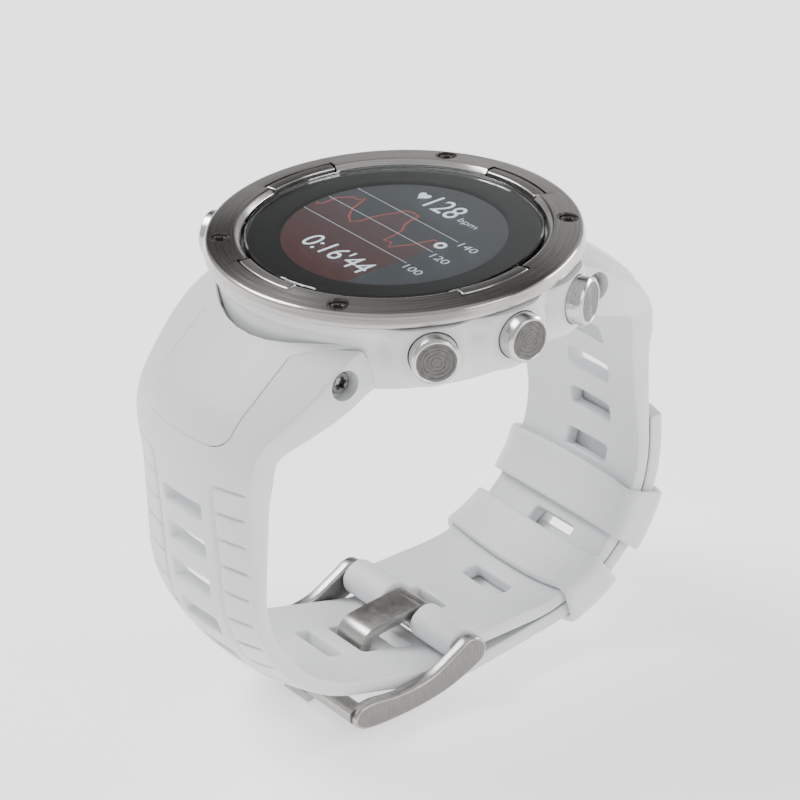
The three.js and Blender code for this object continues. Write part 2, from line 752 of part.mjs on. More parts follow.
// One side arm: a bowed bar from the pin to the far bar.
function armShape() {
  const shape = new THREE.Shape();
  const high = 1.7;
  shape.absarc(pinPlace.x, pinPlace.y, 2.1, -0.35 * Math.PI, 0.6 * Math.PI, false);
  shape.quadraticCurveTo(pinPlace.x - 7, pinPlace.y - 3.2, farBar.x + 2, farBar.y + high);
  shape.absarc(farBar.x, farBar.y, high, 0.45 * Math.PI, 1.4 * Math.PI, false);
  shape.quadraticCurveTo(pinPlace.x - 7, pinPlace.y - 6.4, pinPlace.x + 1, pinPlace.y - 2);
  return shape;
}

function makeBuckle() {
  const arm = alongX(armShape(), buckleHalfWidth - buckleArm, buckleHalfWidth, 6);
  const bar = rodX(farBarRadius, -buckleHalfWidth + 0.2, buckleHalfWidth - 0.2, farBar.x, farBar.y);
  return arm.add(arm.mirror([1, 0, 0])).add(bar);
}

// A flat strip of even thickness that follows a centre line with sharp bends.
function stripShape(line, half) {
  const offsets = line.map((point, i) => {
    const before = line[Math.max(i - 1, 0)];
    const after = line[Math.min(i + 1, line.length - 1)];
    const into = i > 0 ? point.clone().sub(before).normalize() : after.clone().sub(point).normalize();
    const out = i + 1 < line.length ? after.clone().sub(point).normalize() : into;
    const middle = into.clone().add(out).normalize();
    const reach = half / Math.max(middle.dot(into), 0.5);
    return new THREE.Vector2(-middle.y, middle.x).multiplyScalar(reach);
  });
  const left = line.map((point, i) => point.clone().add(offsets[i]));
  const right = line.map((point, i) => point.clone().sub(offsets[i]));
  return new THREE.Shape([...left, ...right.reverse()]);
}

function makeTongue() {
  const eye = pinRadius + gap + 0.9;
  const half = tongueThickness / 2;
  const share = tongueSlot / holeOuter.getLength();
  const slotPoint = holeOuter.getPointAt(share);
  const heading = holeOuter.getTangentAt(share);
  const slotPlace = new THREE.Vector2(-slotPoint.x, slotPoint.y);
  const outwards = new THREE.Vector2(-heading.x, heading.y).rotateAround(new THREE.Vector2(), -Math.PI / 2);
  const line = [
    new THREE.Vector2(pinPlace.x, pinPlace.y + eye - half),
    slotPlace.clone().addScaledVector(outwards, -strapThickness - tonguePlay - half),
    slotPlace.clone().addScaledVector(outwards, tonguePlay + half),
    new THREE.Vector2(farBar.x - 0.8, farBar.y - farBarRadius - gap - half),
  ];
  return alongX(stripShape(line, half), -tongueHalfWidth, tongueHalfWidth)
    .add(rodX(eye, -tongueHalfWidth, tongueHalfWidth, pinPlace.x, pinPlace.y, smallSteps))
    .subtract(rodX(pinRadius + gap, -5, 5, pinPlace.x, pinPlace.y));
}

function makePin() {
  const half = buckleHalfWidth - buckleArm - gap;
  return rodX(pinRadius, -half, half, pinPlace.x, pinPlace.y);
}

function makeKeeper(angle) {
  const halfAngle = keeperWidth / 2 / cornerRadius;
  const middle = angle * Math.PI / 180;
  const inner = cornerRadius - strapThickness - gap;
  const outer = farCorner.r + gap;
  const frame = sector(inner - keeperWall, outer + keeperWall, middle - halfAngle, middle + halfAngle);
  const room = sector(inner, outer, middle - 2 * halfAngle, middle + 2 * halfAngle);
  const half = strapHalfWidth + gap;
  const loop = alongX(frame, -half - keeperWall, half + keeperWall, 5).subtract(alongX(room, -half, half, 9));
  return loop.translate([0, corner.u, corner.z]);
}

add('buckle_frame', makeBuckle(), 'steel');
add('buckle_pin', makePin(), 'steel');
add('buckle_tongue', makeTongue(), 'steel');
keeperAngles.forEach((angle, i) => {
  add(`keeper_${i + 1}`, makeKeeper(angle), 'rubber');
});

export default watch;
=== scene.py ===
# A GPS running watch with its strap buckled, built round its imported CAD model.
import math

import bpy
from mathutils import Matrix, Vector


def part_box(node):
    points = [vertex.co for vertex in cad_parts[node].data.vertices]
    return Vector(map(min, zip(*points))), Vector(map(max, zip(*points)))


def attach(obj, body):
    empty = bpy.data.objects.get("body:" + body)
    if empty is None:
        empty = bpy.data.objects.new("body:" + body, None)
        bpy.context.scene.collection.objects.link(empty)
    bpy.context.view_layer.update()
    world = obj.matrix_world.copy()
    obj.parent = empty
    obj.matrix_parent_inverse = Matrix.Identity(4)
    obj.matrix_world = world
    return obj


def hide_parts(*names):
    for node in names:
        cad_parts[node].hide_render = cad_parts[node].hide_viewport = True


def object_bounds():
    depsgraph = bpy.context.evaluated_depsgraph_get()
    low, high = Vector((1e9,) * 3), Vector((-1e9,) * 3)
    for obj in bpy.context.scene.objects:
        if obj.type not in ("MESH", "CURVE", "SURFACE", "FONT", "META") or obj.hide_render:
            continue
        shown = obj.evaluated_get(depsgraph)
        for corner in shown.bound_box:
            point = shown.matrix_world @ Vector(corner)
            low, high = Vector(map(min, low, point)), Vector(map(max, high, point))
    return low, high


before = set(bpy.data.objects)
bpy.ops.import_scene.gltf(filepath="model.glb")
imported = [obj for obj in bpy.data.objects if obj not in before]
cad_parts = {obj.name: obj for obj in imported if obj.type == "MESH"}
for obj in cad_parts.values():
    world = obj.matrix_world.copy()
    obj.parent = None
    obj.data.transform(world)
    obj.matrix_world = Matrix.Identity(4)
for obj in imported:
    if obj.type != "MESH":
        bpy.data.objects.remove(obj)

cad_box = [list(corner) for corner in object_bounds()]


# ---------- camera ----------
# A long lens looks down on the dial from the three o'clock and six o'clock side, far enough
# away that the round bezel is drawn almost without perspective.

azimuth = math.radians(53.35)
elevation = math.radians(28.59)
roll = math.radians(-2.2)
back = Vector((
    math.sin(azimuth) * math.cos(elevation),
    -math.cos(azimuth) * math.cos(elevation),
    math.sin(elevation),
))
right = Vector((math.cos(azimuth), math.sin(azimuth), 0))
up = back.cross(right)
turn = Matrix.Rotation(roll, 3, back)
right, up = turn @ right, turn @ up
bezel_edge = Vector((0, 0, 0.0143))
lens = bpy.data.cameras.new("camera")
lens.sensor_width = 36
lens.lens = 167.04
lens.clip_end = 10
camera = bpy.data.objects.new("camera", lens)
bpy.context.scene.collection.objects.link(camera)
camera.matrix_world = (
    Matrix.Translation(bezel_edge + right * 0.000702 + up * -0.020478 + back * 0.4447)
    @ Matrix((right, up, back)).transposed().to_4x4()
)
bpy.context.scene.camera = camera


# ---------- floor and studio ----------
# A pale matte table just under the buckle, a white sky with one dark band above its horizon
# that the glass and the steel mirror, and three soft boxes: a key from the upper left, a strip
# at the right for the steel, and a weak fill.

def deselect():
    if bpy.context.object and bpy.context.object.mode != "OBJECT":
        bpy.ops.object.mode_set(mode="OBJECT")
    bpy.ops.object.select_all(action="DESELECT")


def new_material(name, **sockets):
    material = bpy.data.materials.new(name)
    material.use_nodes = True
    shader = material.node_tree.nodes["Principled BSDF"]
    for socket, value in sockets.items():
        shader.inputs[socket.replace("_", " ")].default_value = value
    return material, material.node_tree, shader


def add_node(tree, kind, **settings):
    node = tree.nodes.new(kind)
    for key, value in settings.items():
        if key in node.inputs:
            node.inputs[key].default_value = value
        else:
            setattr(node, key, value)
    return node


def wire(tree, *runs):
    """Links sockets: each run is (node, output, node, input)."""
    for source, output, target, socket in runs:
        tree.links.new(source.outputs[output], target.inputs[socket])


def grained(name, light, dark, scale, stretch=(1, 1, 1), rough=(0.5, 0.6), bump=0.02, **sockets):
    """A finish whose colour, gloss and height follow one fine grain, in grains per metre."""
    material, tree, shader = new_material(name, **sockets)
    place = add_node(tree, "ShaderNodeTexCoord")
    fit = add_node(tree, "ShaderNodeMapping")
    fit.inputs["Scale"].default_value = stretch
    grain = add_node(tree, "ShaderNodeTexNoise", Scale=scale, Detail=4.0, Roughness=0.55)
    tint = add_node(tree, "ShaderNodeValToRGB")
    tint.color_ramp.elements[0].position, tint.color_ramp.elements[0].color = 0.3, (*dark, 1)
    tint.color_ramp.elements[1].position, tint.color_ramp.elements[1].color = 0.7, (*light, 1)
    gloss = add_node(tree, "ShaderNodeMapRange")
    gloss.inputs["To Min"].default_value, gloss.inputs["To Max"].default_value = rough
    height = add_node(tree, "ShaderNodeBump", Strength=1.0, Distance=bump / 1000)
    wire(
        tree, (place, "Object", fit, "Vector"), (fit, "Vector", grain, "Vector"),
        (grain, "Fac", tint, "Fac"), (tint, "Color", shader, "Base Color"),
        (grain, "Fac", gloss, "Value"), (gloss, "Result", shader, "Roughness"),
        (grain, "Fac", height, "Height"), (height, "Normal", shader, "Normal"),
    )
    return material


deselect()
bpy.ops.mesh.primitive_plane_add(size=3, location=(0, 0, cad_box[0][2] - 0.0004))
floor = bpy.context.object
floor.name = "floor"
bpy.ops.object.transform_apply(location=True)
floor.data.materials.append(
    grained(
        "pale_table", (0.95, 0.95, 0.95), (0.935, 0.935, 0.935), 400, rough=(0.7, 0.8), bump=0.0,
        Emission_Color=(1, 1, 1, 1), Emission_Strength=0.85,
    )
)

sky = bpy.data.worlds.new("studio")
bpy.context.scene.world = sky
sky.use_nodes = True
mirrored = right * 0.55 + up * 0.83
heading_in = add_node(sky.node_tree, "ShaderNodeTexCoord")
across_sky = add_node(sky.node_tree, "ShaderNodeVectorMath", operation="DOT_PRODUCT")
across_sky.inputs[1].default_value = (mirrored.x, mirrored.y, -mirrored.z)
sky_place = add_node(sky.node_tree, "ShaderNodeMapRange")
sky_place.inputs["From Min"].default_value = -1
sky_tone = add_node(sky.node_tree, "ShaderNodeValToRGB")
tones = [(0.1, 1.0), (0.32, 0.9), (0.42, 0.1), (0.49, 0.03), (0.54, 0.5), (0.64, 0.9)]
while len(sky_tone.color_ramp.elements) < len(tones):
    sky_tone.color_ramp.elements.new(0.5)
for stop, (place, tone) in zip(sky_tone.color_ramp.elements, tones):
    stop.position, stop.color = place, (tone, tone, tone, 1)
sky_parts = add_node(sky.node_tree, "ShaderNodeSeparateXYZ")
sky_height = add_node(sky.node_tree, "ShaderNodeMapRange", interpolation_type="SMOOTHSTEP")
sky_height.inputs["From Min"].default_value = 0.14
sky_height.inputs["From Max"].default_value = 0.34
sky_mix = add_node(sky.node_tree, "ShaderNodeMix", data_type="RGBA")
wire(
    sky.node_tree, (heading_in, "Generated", across_sky, 0),
    (across_sky, "Value", sky_place, "Value"), (sky_place, "Result", sky_tone, "Fac"),
    (heading_in, "Generated", sky_parts, "Vector"), (sky_parts, "Z", sky_height, "Value"),
    (sky_height, "Result", sky_mix, "Factor"),
)
low_sky, high_sky = [socket for socket in sky_mix.inputs if socket.type == "RGBA"]
low_sky.default_value = (0.9, 0.9, 0.9, 1)
mixed_sky = next(socket for socket in sky_mix.outputs if socket.type == "RGBA")
sky.node_tree.links.new(sky_tone.outputs["Color"], high_sky)
sky.node_tree.links.new(mixed_sky, sky.node_tree.nodes["Background"].inputs["Color"])
sky.node_tree.nodes["Background"].inputs["Strength"].default_value = 0.85


def soft_box(name, place, size, power):
    light = bpy.data.lights.new(name, "AREA")
    light.shape = "RECTANGLE"
    light.size, light.size_y = size
    light.energy = power
    lamp = bpy.data.objects.new(name, light)
    lamp.location = place
    aim = Vector((0, 0, -0.01)) - Vector(place)
    lamp.rotation_euler = aim.to_track_quat("-Z", "Y").to_euler()
    bpy.context.scene.collection.objects.link(lamp)


soft_box("key", back * 0.1 + right * -0.55 + up * 0.75, (0.5, 0.35), 9)
soft_box("strip", back * -0.2 + right * 0.75 + up * 0.4, (0.5, 0.2), 6)
soft_box("fill", back * 0.6 + right * 0.7 + up * 0.1, (0.4, 0.4), 2.5)


# ---------- case ----------
# Glass-fibre polymer, injection moulded in white. A turned wall with a flared rim under the
# bezel and a soft boss round each button; the five holes are moulded through the bosses.

def start_edit(piece):
    deselect()
    piece.select_set(True)
    bpy.context.view_layer.objects.active = piece
    bpy.ops.object.mode_set(mode="EDIT")
    bpy.ops.mesh.select_all(action="SELECT")


def end_edit(merge=0.0):
    """Closes the seams, turns the faces outwards and leaves edit mode."""
    bpy.ops.mesh.select_all(action="SELECT")
    if merge:
        bpy.ops.mesh.remove_doubles(threshold=merge)
    bpy.ops.mesh.normals_make_consistent(inside=False)
    bpy.ops.object.mode_set(mode="OBJECT")


def turned(name, rings, steps):
    """A lathe piece from (radius, height) rings in mm: a last ring of 0 radius closes it, and
    a last ring equal to the first makes a hoop."""
    deselect()
    bpy.ops.mesh.primitive_circle_add(vertices=steps, radius=rings[0][0])
    piece = bpy.context.object
    piece.name = name
    start_edit(piece)
    bpy.ops.transform.translate(value=(0, 0, rings[0][1]))
    if rings[0] != rings[-1]:
        bpy.ops.mesh.edge_face_add()
        bpy.ops.mesh.select_all(action="SELECT")
        bpy.ops.mesh.select_mode(type="EDGE")
    for (radius, height), (next_radius, next_height) in zip(rings, rings[1:]):
        bpy.ops.mesh.extrude_edges_move(
            TRANSFORM_OT_translate={"value": (0, 0, next_height - height)}
        )
        if next_radius:
            ratio = next_radius / radius
            bpy.ops.transform.resize(value=(ratio, ratio, 1), center_override=(0, 0, 0))
        else:
            bpy.ops.mesh.merge(type="CENTER")
    end_edit(0.0005)
    return piece


def apply_all(piece):
    deselect()
    piece.select_set(True)
    bpy.context.view_layer.objects.active = piece
    for modifier in list(piece.modifiers):
        bpy.ops.object.modifier_apply(modifier=modifier.name)


def cut(piece, cutter, operation="DIFFERENCE"):
    knife = piece.modifiers.new("cut", "BOOLEAN")
    knife.operation = operation
    knife.solver = "EXACT"
    knife.object = cutter
    apply_all(piece)
    bpy.data.objects.remove(cutter)


def bevelled(piece, width, segments=2, angle=35):
    edge = piece.modifiers.new("edge", "BEVEL")
    edge.width = width
    edge.segments = segments
    edge.limit_method = "ANGLE"
    edge.angle_limit = math.radians(angle)
    apply_all(piece)


def subdivided(piece, levels):
    smooth = piece.modifiers.new("smooth", "SUBSURF")
    smooth.levels = smooth.render_levels = levels
    apply_all(piece)


def cylinder(radius, depth, centre, turn=(0, 0, 0), steps=48):
    deselect()
    bpy.ops.mesh.primitive_cylinder_add(
        vertices=steps, radius=radius, depth=depth, location=centre, rotation=turn
    )
    bpy.ops.object.transform_apply(location=True, rotation=True)
    return bpy.context.object


def joined(pieces):
    deselect()
    for piece in pieces:
        piece.select_set(True)
    bpy.context.view_layer.objects.active = pieces[0]
    bpy.ops.object.join()
    return pieces[0]


def settled(piece, material, angle=40):
    """Takes a piece from millimetres to metres, smooths its shading and gives its finish."""
    deselect()
    piece.select_set(True)
    bpy.context.view_layer.objects.active = piece
    bpy.ops.object.transform_apply(location=True, rotation=True, scale=True)
    piece.data.transform(Matrix.Scale(0.001, 4))
    bpy.ops.object.shade_smooth_by_angle(angle=math.radians(angle))
    piece.data.materials.clear()
    piece.data.materials.append(material)


def ramp(value, low, high):
    """0 below low and 1 above high, with a soft start and end; low may be above high."""
    share = min(max((value - low) / (high - low), 0), 1)
    return share * share * (3 - 2 * share)


white_polymer = grained(
    "white_polymer", (0.70, 0.71, 0.72), (0.675, 0.685, 0.695), 9000, rough=(0.38, 0.46), bump=0.004
)
button_z = 9.3
button_angles = {1: -27, 2: 0, 3: 27, 4: 153, 5: 207}
case_wall = [
    (18.2, 12.52), (22.15, 12.52), (22.35, 12.42), (22.4, 12.0), (22.38, 11.5), (22.2, 11.2),
    (21.85, 10.9), (21.6, 10.6), (21.5, 10.2), (21.5, 9.6), (21.5, 9.0), (21.5, 8.4),
    (21.5, 7.8), (21.47, 7.2), (21.4, 6.6), (21.25, 6.0), (21.05, 5.4), (20.8, 4.8),
    (20.5, 4.2), (20.15, 3.7), (19.7, 3.2), (19.1, 2.9), (18.4, 2.8), (17.0, 2.8),
    (17.0, 4.4), (18.0, 6.0), (18.2, 12.52),
]
case = turned("case_shell", case_wall, 288)
boss_face = 23.6
for vertex in case.data.vertices:
    reach = math.hypot(vertex.co.x, vertex.co.y)
    if reach < 19.5:
        continue
    heading = math.atan2(vertex.co.y, vertex.co.x)
    rise = 0
    for angle in button_angles.values():
        away = (heading - math.radians(angle) + math.pi) % (2 * math.pi) - math.pi
        off = math.hypot(21.5 * away, vertex.co.z - button_z)
        rise = max(rise, ramp(off, 6.3, 3.5))
    lift = 1 + rise * (boss_face - reach) / reach
    vertex.co.x *= lift
    vertex.co.y *= lift
hole_cutters = [
    cylinder(
        3.03, 11,
        (23 * math.cos(math.radians(angle)), 23 * math.sin(math.radians(angle)), button_z),
        (0, math.pi / 2, math.radians(angle)), 64,
    )
    for angle in button_angles.values()
]
cut(case, joined(hole_cutters))
settled(case, white_polymer, 32)
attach(case, "watch")
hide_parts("case")


# ---------- bezel ----------
# A ring of stainless steel, turned and brushed round the dial, with four shallow notches at
# the quarters and four countersunk holes for the screws that hold it to the case.

def brushed(name, light, dark, rough, centre=(0, 0, 0), turn=(0, 0, 0), anisotropic=0.6):
    """Spun steel: fine rings round a centre, in metres, about the turned Z axis."""
    material, tree, shader = new_material(
        name, Metallic=1.0, Anisotropic=anisotropic, Anisotropic_Rotation=0.25
    )
    place = add_node(tree, "ShaderNodeTexCoord")
    fit = add_node(tree, "ShaderNodeMapping", vector_type="TEXTURE")
    fit.inputs["Location"].default_value = centre
    fit.inputs["Rotation"].default_value = turn
    parts = add_node(tree, "ShaderNodeSeparateXYZ")
    squares = [add_node(tree, "ShaderNodeMath", operation="POWER") for _ in range(2)]
    total = add_node(tree, "ShaderNodeMath", operation="ADD")
    reach = add_node(tree, "ShaderNodeMath", operation="SQRT")
    heading = add_node(tree, "ShaderNodeMath", operation="ARCTAN2")
    slow = add_node(tree, "ShaderNodeMath", operation="MULTIPLY")
    slow.inputs[1].default_value = 0.0003
    line = add_node(tree, "ShaderNodeCombineXYZ")
    scratch = add_node(tree, "ShaderNodeTexNoise", Scale=9000.0, Detail=3.0, Roughness=0.7)
    tint = add_node(tree, "ShaderNodeValToRGB")
    tint.color_ramp.elements[0].position, tint.color_ramp.elements[0].color = 0.35, (*dark, 1)
    tint.color_ramp.elements[1].position, tint.color_ramp.elements[1].color = 0.65, (*light, 1)
    gloss = add_node(tree, "ShaderNodeMapRange")
    gloss.inputs["To Min"].default_value, gloss.inputs["To Max"].default_value = rough
    height = add_node(tree, "ShaderNodeBump", Strength=0.25, Distance=0.000005)
    for square, side in zip(squares, ("X", "Y")):
        square.inputs[1].default_value = 2
        wire(tree, (parts, side, square, 0))
    wire(
        tree, (place, "Object", fit, "Vector"), (fit, "Vector", parts, "Vector"),
        (squares[0], 0, total, 0), (squares[1], 0, total, 1), (total, 0, reach, 0),
        (parts, "Y", heading, 0), (parts, "X", heading, 1), (heading, 0, slow, 0),
        (reach, 0, line, "X"), (slow, 0, line, "Y"), (parts, "Z", line, "Z"),
        (line, "Vector", scratch, "Vector"), (scratch, "Fac", tint, "Fac"),
        (tint, "Color", shader, "Base Color"), (scratch, "Fac", gloss, "Value"),
        (gloss, "Result", shader, "Roughness"), (scratch, "Fac", height, "Height"),
        (height, "Normal", shader, "Normal"),
    )
    if not any(turn):
        grain_line = add_node(tree, "ShaderNodeTangent", direction_type="RADIAL", axis="Z")
        wire(tree, (grain_line, "Tangent", shader, "Tangent"))
    return material


def arc_bar(inner, outer, low, high, middle, half_angle, steps=16):
    """A bar of rectangular section bent round the dial axis: a plane spun clockwise."""
    deselect()
    start = math.radians(middle + half_angle)
    bpy.ops.mesh.primitive_plane_add(size=1)
    bar = bpy.context.object
    for vertex in bar.data.vertices:
        reach = inner if vertex.co.x < 0 else outer
        height = low if vertex.co.y < 0 else high
        vertex.co = (reach * math.cos(start), reach * math.sin(start), height)
    start_edit(bar)
    bpy.ops.mesh.spin(
        steps=steps, angle=math.radians(2 * half_angle), center=(0, 0, 0), axis=(0, 0, 1)
    )
    end_edit(0.0005)
    return bar


bezel_steel = brushed(
    "bezel_steel", (0.50, 0.485, 0.465), (0.36, 0.35, 0.335), (0.17, 0.27), anisotropic=0.8
)
bezel_ring = [
    (18.55, 12.75), (22.9, 12.75), (23.0, 12.85), (23.0, 13.05), (22.93, 13.4), (22.91, 13.47),
    (22.76, 14.08), (22.74, 14.15), (22.6, 14.32), (22.4, 14.4), (22.3, 14.41), (19.25, 14.78),
    (19.1, 14.79), (18.95, 14.72), (18.9, 14.68), (18.52, 14.32), (18.46, 14.25),
    (18.42, 14.1), (18.42, 12.9), (18.55, 12.75),
]
quarters = (0, 90, 180, 270)
bezel = turned("bezel_ring", bezel_ring, 288)
notches = [arc_bar(18.0, 20.2, 13.45, 15.5, quarter, 15) for quarter in quarters]
screw_places = {}
for index in range(1, 5):
    low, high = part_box(f"bezel_screw_{index}")
    screw_places[index] = ((low[0] + high[0]) * 500, (low[1] + high[1]) * 500)
screw_wells = [cylinder(1.32, 3, (x, y, 15.35), steps=40) for x, y in screw_places.values()]
cut(bezel, joined(notches))
cut(bezel, joined(screw_wells))
bevelled(bezel, 0.07, 2, 40)
settled(bezel, bezel_steel, 30)
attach(bezel, "watch")
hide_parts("bezel")


# ---------- tabs in the notches ----------
# A blackened steel ring under the bezel. Its four raised tabs fill the notches, proud edges
# polished back to bright metal, with a fine shadow gap all round.

tab_steel = brushed("tab_steel", (0.30, 0.29, 0.28), (0.19, 0.185, 0.18), (0.28, 0.4))
tab_edge = brushed("tab_edge_steel", (0.62, 0.6, 0.58), (0.5, 0.49, 0.47), (0.16, 0.26))
tabs = joined([arc_bar(18.5, 19.95, 12.9, 14.66, quarter, 14.35, 20) for quarter in quarters])
tabs.name = "quarter_tabs"
bevelled(tabs, 0.17, 3, 50)
settled(tabs, tab_steel, 35)
tabs.data.materials.append(tab_edge)
for face in tabs.data.polygons:
    face.material_index = 1 if 0.15 < face.normal.z < 0.97 else 0
tab_base = turned("quarter_ring", [
    (18.5, 12.6), (20.6, 12.6), (20.6, 12.7), (20.4, 12.7), (18.6, 12.7), (18.5, 12.6),
], 144)
settled(tab_base, tab_steel)
for piece in (tabs, tab_base):
    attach(piece, "watch")
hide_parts("tab_ring")


# ---------- screws ----------
# Blackened steel with a six-lobed drive: four in the bezel, four in the back cover and one at
# each lug. One head is modelled, and each screw is a copy of it at its own size and place.

screw_steel = grained(
    "screw_steel", (0.16, 0.155, 0.15), (0.09, 0.09, 0.088), 6000,
    rough=(0.28, 0.4), bump=0.004, Metallic=1.0,
)
lobe_ring = 48
drive = turned("screw_head", [
    (0.9, -0.9), (0.98, -0.8), (1.0, -0.1), (0.93, -0.02), (0.62, 0.0), (0.56, -0.05),
    (0.54, -0.55), (0.3, -0.62), (0, -0.62),
], lobe_ring)
for vertex in drive.data.vertices:
    reach = math.hypot(vertex.co.x, vertex.co.y)
    if 0.2 < reach < 0.6 and vertex.co.z > -0.7:
        wave = 1 + 0.17 * math.cos(6 * math.atan2(vertex.co.y, vertex.co.x))
        vertex.co.x *= wave
        vertex.co.y *= wave


def screw(node, radius, face, normal):
    """A copy of the head whose face centre and normal are given in mm."""
    head = drive.copy()
    head.data = drive.data.copy()
    head.name = node + "_head"
    bpy.context.scene.collection.objects.link(head)
    turn = Vector(normal).to_track_quat("Z", "Y").to_matrix().to_4x4()
    head.data.transform(Matrix.Translation(face) @ turn @ Matrix.Scale(radius, 4))
    settled(head, screw_steel, 35)
    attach(head, "watch")
    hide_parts(node)


for index, (x, y) in screw_places.items():
    screw(f"bezel_screw_{index}", 1.1, (x, y, 14.28), (0, 0, 1))
for index in range(1, 5):
    low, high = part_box(f"back_screw_{index}")
    middle = [(a + b) * 500 for a, b in zip(low, high)]
    screw(f"back_screw_{index}", (high[0] - low[0]) * 500, (*middle[:2], low[2] * 1000), (0, 0, -1))
for index in range(1, 5):
    low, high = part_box(f"lug_screw_{index}")
    side = 1 if low[0] > 0 else -1
    middle = [(a + b) * 500 for a, b in zip(low, high)]
    screw(f"lug_screw_{index}", 1.35, (side * 14.0, *middle[1:]), (side, 0, 0))
bpy.data.objects.remove(drive)


# ---------- glass ----------
# A flat disc of hardened mineral glass with a ground edge, held in a thin black gasket.

clear_glass, glass_tree, glass_shader = new_material(
    "mineral_glass", Base_Color=(0.93, 0.95, 0.96, 1), Roughness=0.015, IOR=1.5,
    Transmission_Weight=1.0,
)
smear = add_node(glass_tree, "ShaderNodeTexNoise", Scale=140.0, Detail=2.0)
smear_gloss = add_node(glass_tree, "ShaderNodeMapRange")
smear_gloss.inputs["To Min"].default_value = 0.008
smear_gloss.inputs["To Max"].default_value = 0.03
smear_place = add_node(glass_tree, "ShaderNodeTexCoord")
wire(
    glass_tree, (smear_place, "Object", smear, "Vector"), (smear, "Fac", smear_gloss, "Value"),
    (smear_gloss, "Result", glass_shader, "Roughness"),
)
glass = turned("glass_disc", [
    (17.95, 13.15), (18.1, 13.3), (18.1, 14.2), (18.0, 14.36), (17.8, 14.45), (0, 14.45),
], 192)
settled(glass, clear_glass, 12)
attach(glass, "watch")
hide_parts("glass")

seal_rubber = grained(
    "seal_rubber", (0.022, 0.022, 0.022), (0.012, 0.012, 0.012), 7000, rough=(0.6, 0.75), bump=0.01
)
for node in ("glass_gasket", "back_gasket", *(f"button_seal_{i}" for i in button_angles)):
    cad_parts[node].data.materials.clear()
    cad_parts[node].data.materials.append(seal_rubber)


# ---------- display ----------
# A colour panel under the glass, lit inside a circle, with a black mask printed round it. It
# shows a pulse reading, a graph of the pulse with three ruled lines, and the time run so far.

panel_glow = 13.7
panel_face = 12.86
lit_layer = 0.02


def glowing(name, colour, strength):
    material, tree, shader = new_material(name, Roughness=0.12)
    speck = add_node(tree, "ShaderNodeTexNoise", Scale=30000.0)
    place = add_node(tree, "ShaderNodeTexCoord")
    tint = add_node(tree, "ShaderNodeValToRGB")
    tint.color_ramp.elements[0].color = (*(0.9 * c for c in colour), 1)
    tint.color_ramp.elements[1].color = (*colour, 1)
    wire(
        tree, (place, "Object", speck, "Vector"), (speck, "Fac", tint, "Fac"),
        (tint, "Color", shader, "Base Color"), (tint, "Color", shader, "Emission Color"),
    )
    shader.inputs["Emission Strength"].default_value = strength
    return material


def sheet_of(name, outline, layer):
    """A flat shape on the panel from its outline in mm, one face."""
    deselect()
    bpy.ops.mesh.primitive_circle_add(vertices=len(outline), radius=1, fill_type="NGON")
    shape = bpy.context.object
    shape.name = name
    for vertex, (x, y) in zip(shape.data.vertices, outline):
        vertex.co = (x, y, panel_face + layer * lit_layer)
    start_edit(shape)
    bpy.ops.mesh.quads_convert_to_tris()
    bpy.ops.mesh.select_all(action="SELECT")
    bpy.ops.mesh.normals_make_consistent(inside=False)
    bpy.ops.object.mode_set(mode="OBJECT")
    if shape.data.polygons[0].normal.z < 0:
        shape.data.flip_normals()
    return shape


def ribbon(name, line, width, layer):
    """A drawn line of one width along a row of points."""
    left, right_side = [], []
    for i, (x, y) in enumerate(line):
        before, after = line[max(i - 1, 0)], line[min(i + 1, len(line) - 1)]
        along = Vector((after[0] - before[0], after[1] - before[1])).normalized()
        left.append((x - along.y * width / 2, y + along.x * width / 2))
        right_side.append((x + along.y * width / 2, y - along.x * width / 2))
    strip = []
    for i in range(len(line) - 1):
        quad = [left[i], right_side[i], right_side[i + 1], left[i + 1]]
        strip.append(sheet_of(name, quad, layer))
    piece = joined(strip)
    piece.name = name
    return piece


def figures(name, text, corner_at, height, width, layer=4):
    """Upright figures whose lower left corner, height and width are given in mm."""
    deselect()
    bpy.ops.object.text_add()
    piece = bpy.context.object
    piece.name = name
    piece.data.body = text
    piece.data.resolution_u = 6
    bpy.ops.object.convert(target="MESH")
    piece = bpy.context.object
    points = [vertex.co.copy() for vertex in piece.data.vertices]
    low_x, high_x = min(p.x for p in points), max(p.x for p in points)
    low_y, high_y = min(p.y for p in points), max(p.y for p in points)
    for vertex, point in zip(piece.data.vertices, points):
        vertex.co = (
            corner_at[0] + (point.x - low_x) / (high_x - low_x) * width,
            corner_at[1] + (point.y - low_y) / (high_y - low_y) * height,
            panel_face + layer * lit_layer,
        )
    return piece


panel_black = grained(
    "panel_black", (0.004, 0.004, 0.005), (0.002, 0.002, 0.003), 12000, rough=(0.05, 0.09), bump=0.0
)
panel = turned("panel_disc", [
    (15.7, 11.6), (15.8, 11.7), (15.8, 12.75), (15.7, 12.85), (0, 12.85),
], 128)
settled(panel, panel_black, 30)
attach(panel, "watch")
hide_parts("display")

mask = turned("printed_mask", [
    (14.1, 13.06), (17.7, 13.06), (17.75, 13.09), (17.7, 13.12), (14.1, 13.12), (14.1, 13.06),
], 144)
settled(mask, panel_black, 30)

lit_circle = [
    (panel_glow * math.cos(math.radians(2.5 * i)), panel_glow * math.sin(math.radians(2.5 * i)))
    for i in range(144)
]
lit = sheet_of("lit_panel", lit_circle, 1)
settled(lit, glowing("screen_blue_grey", (0.055, 0.062, 0.07), 0.4))

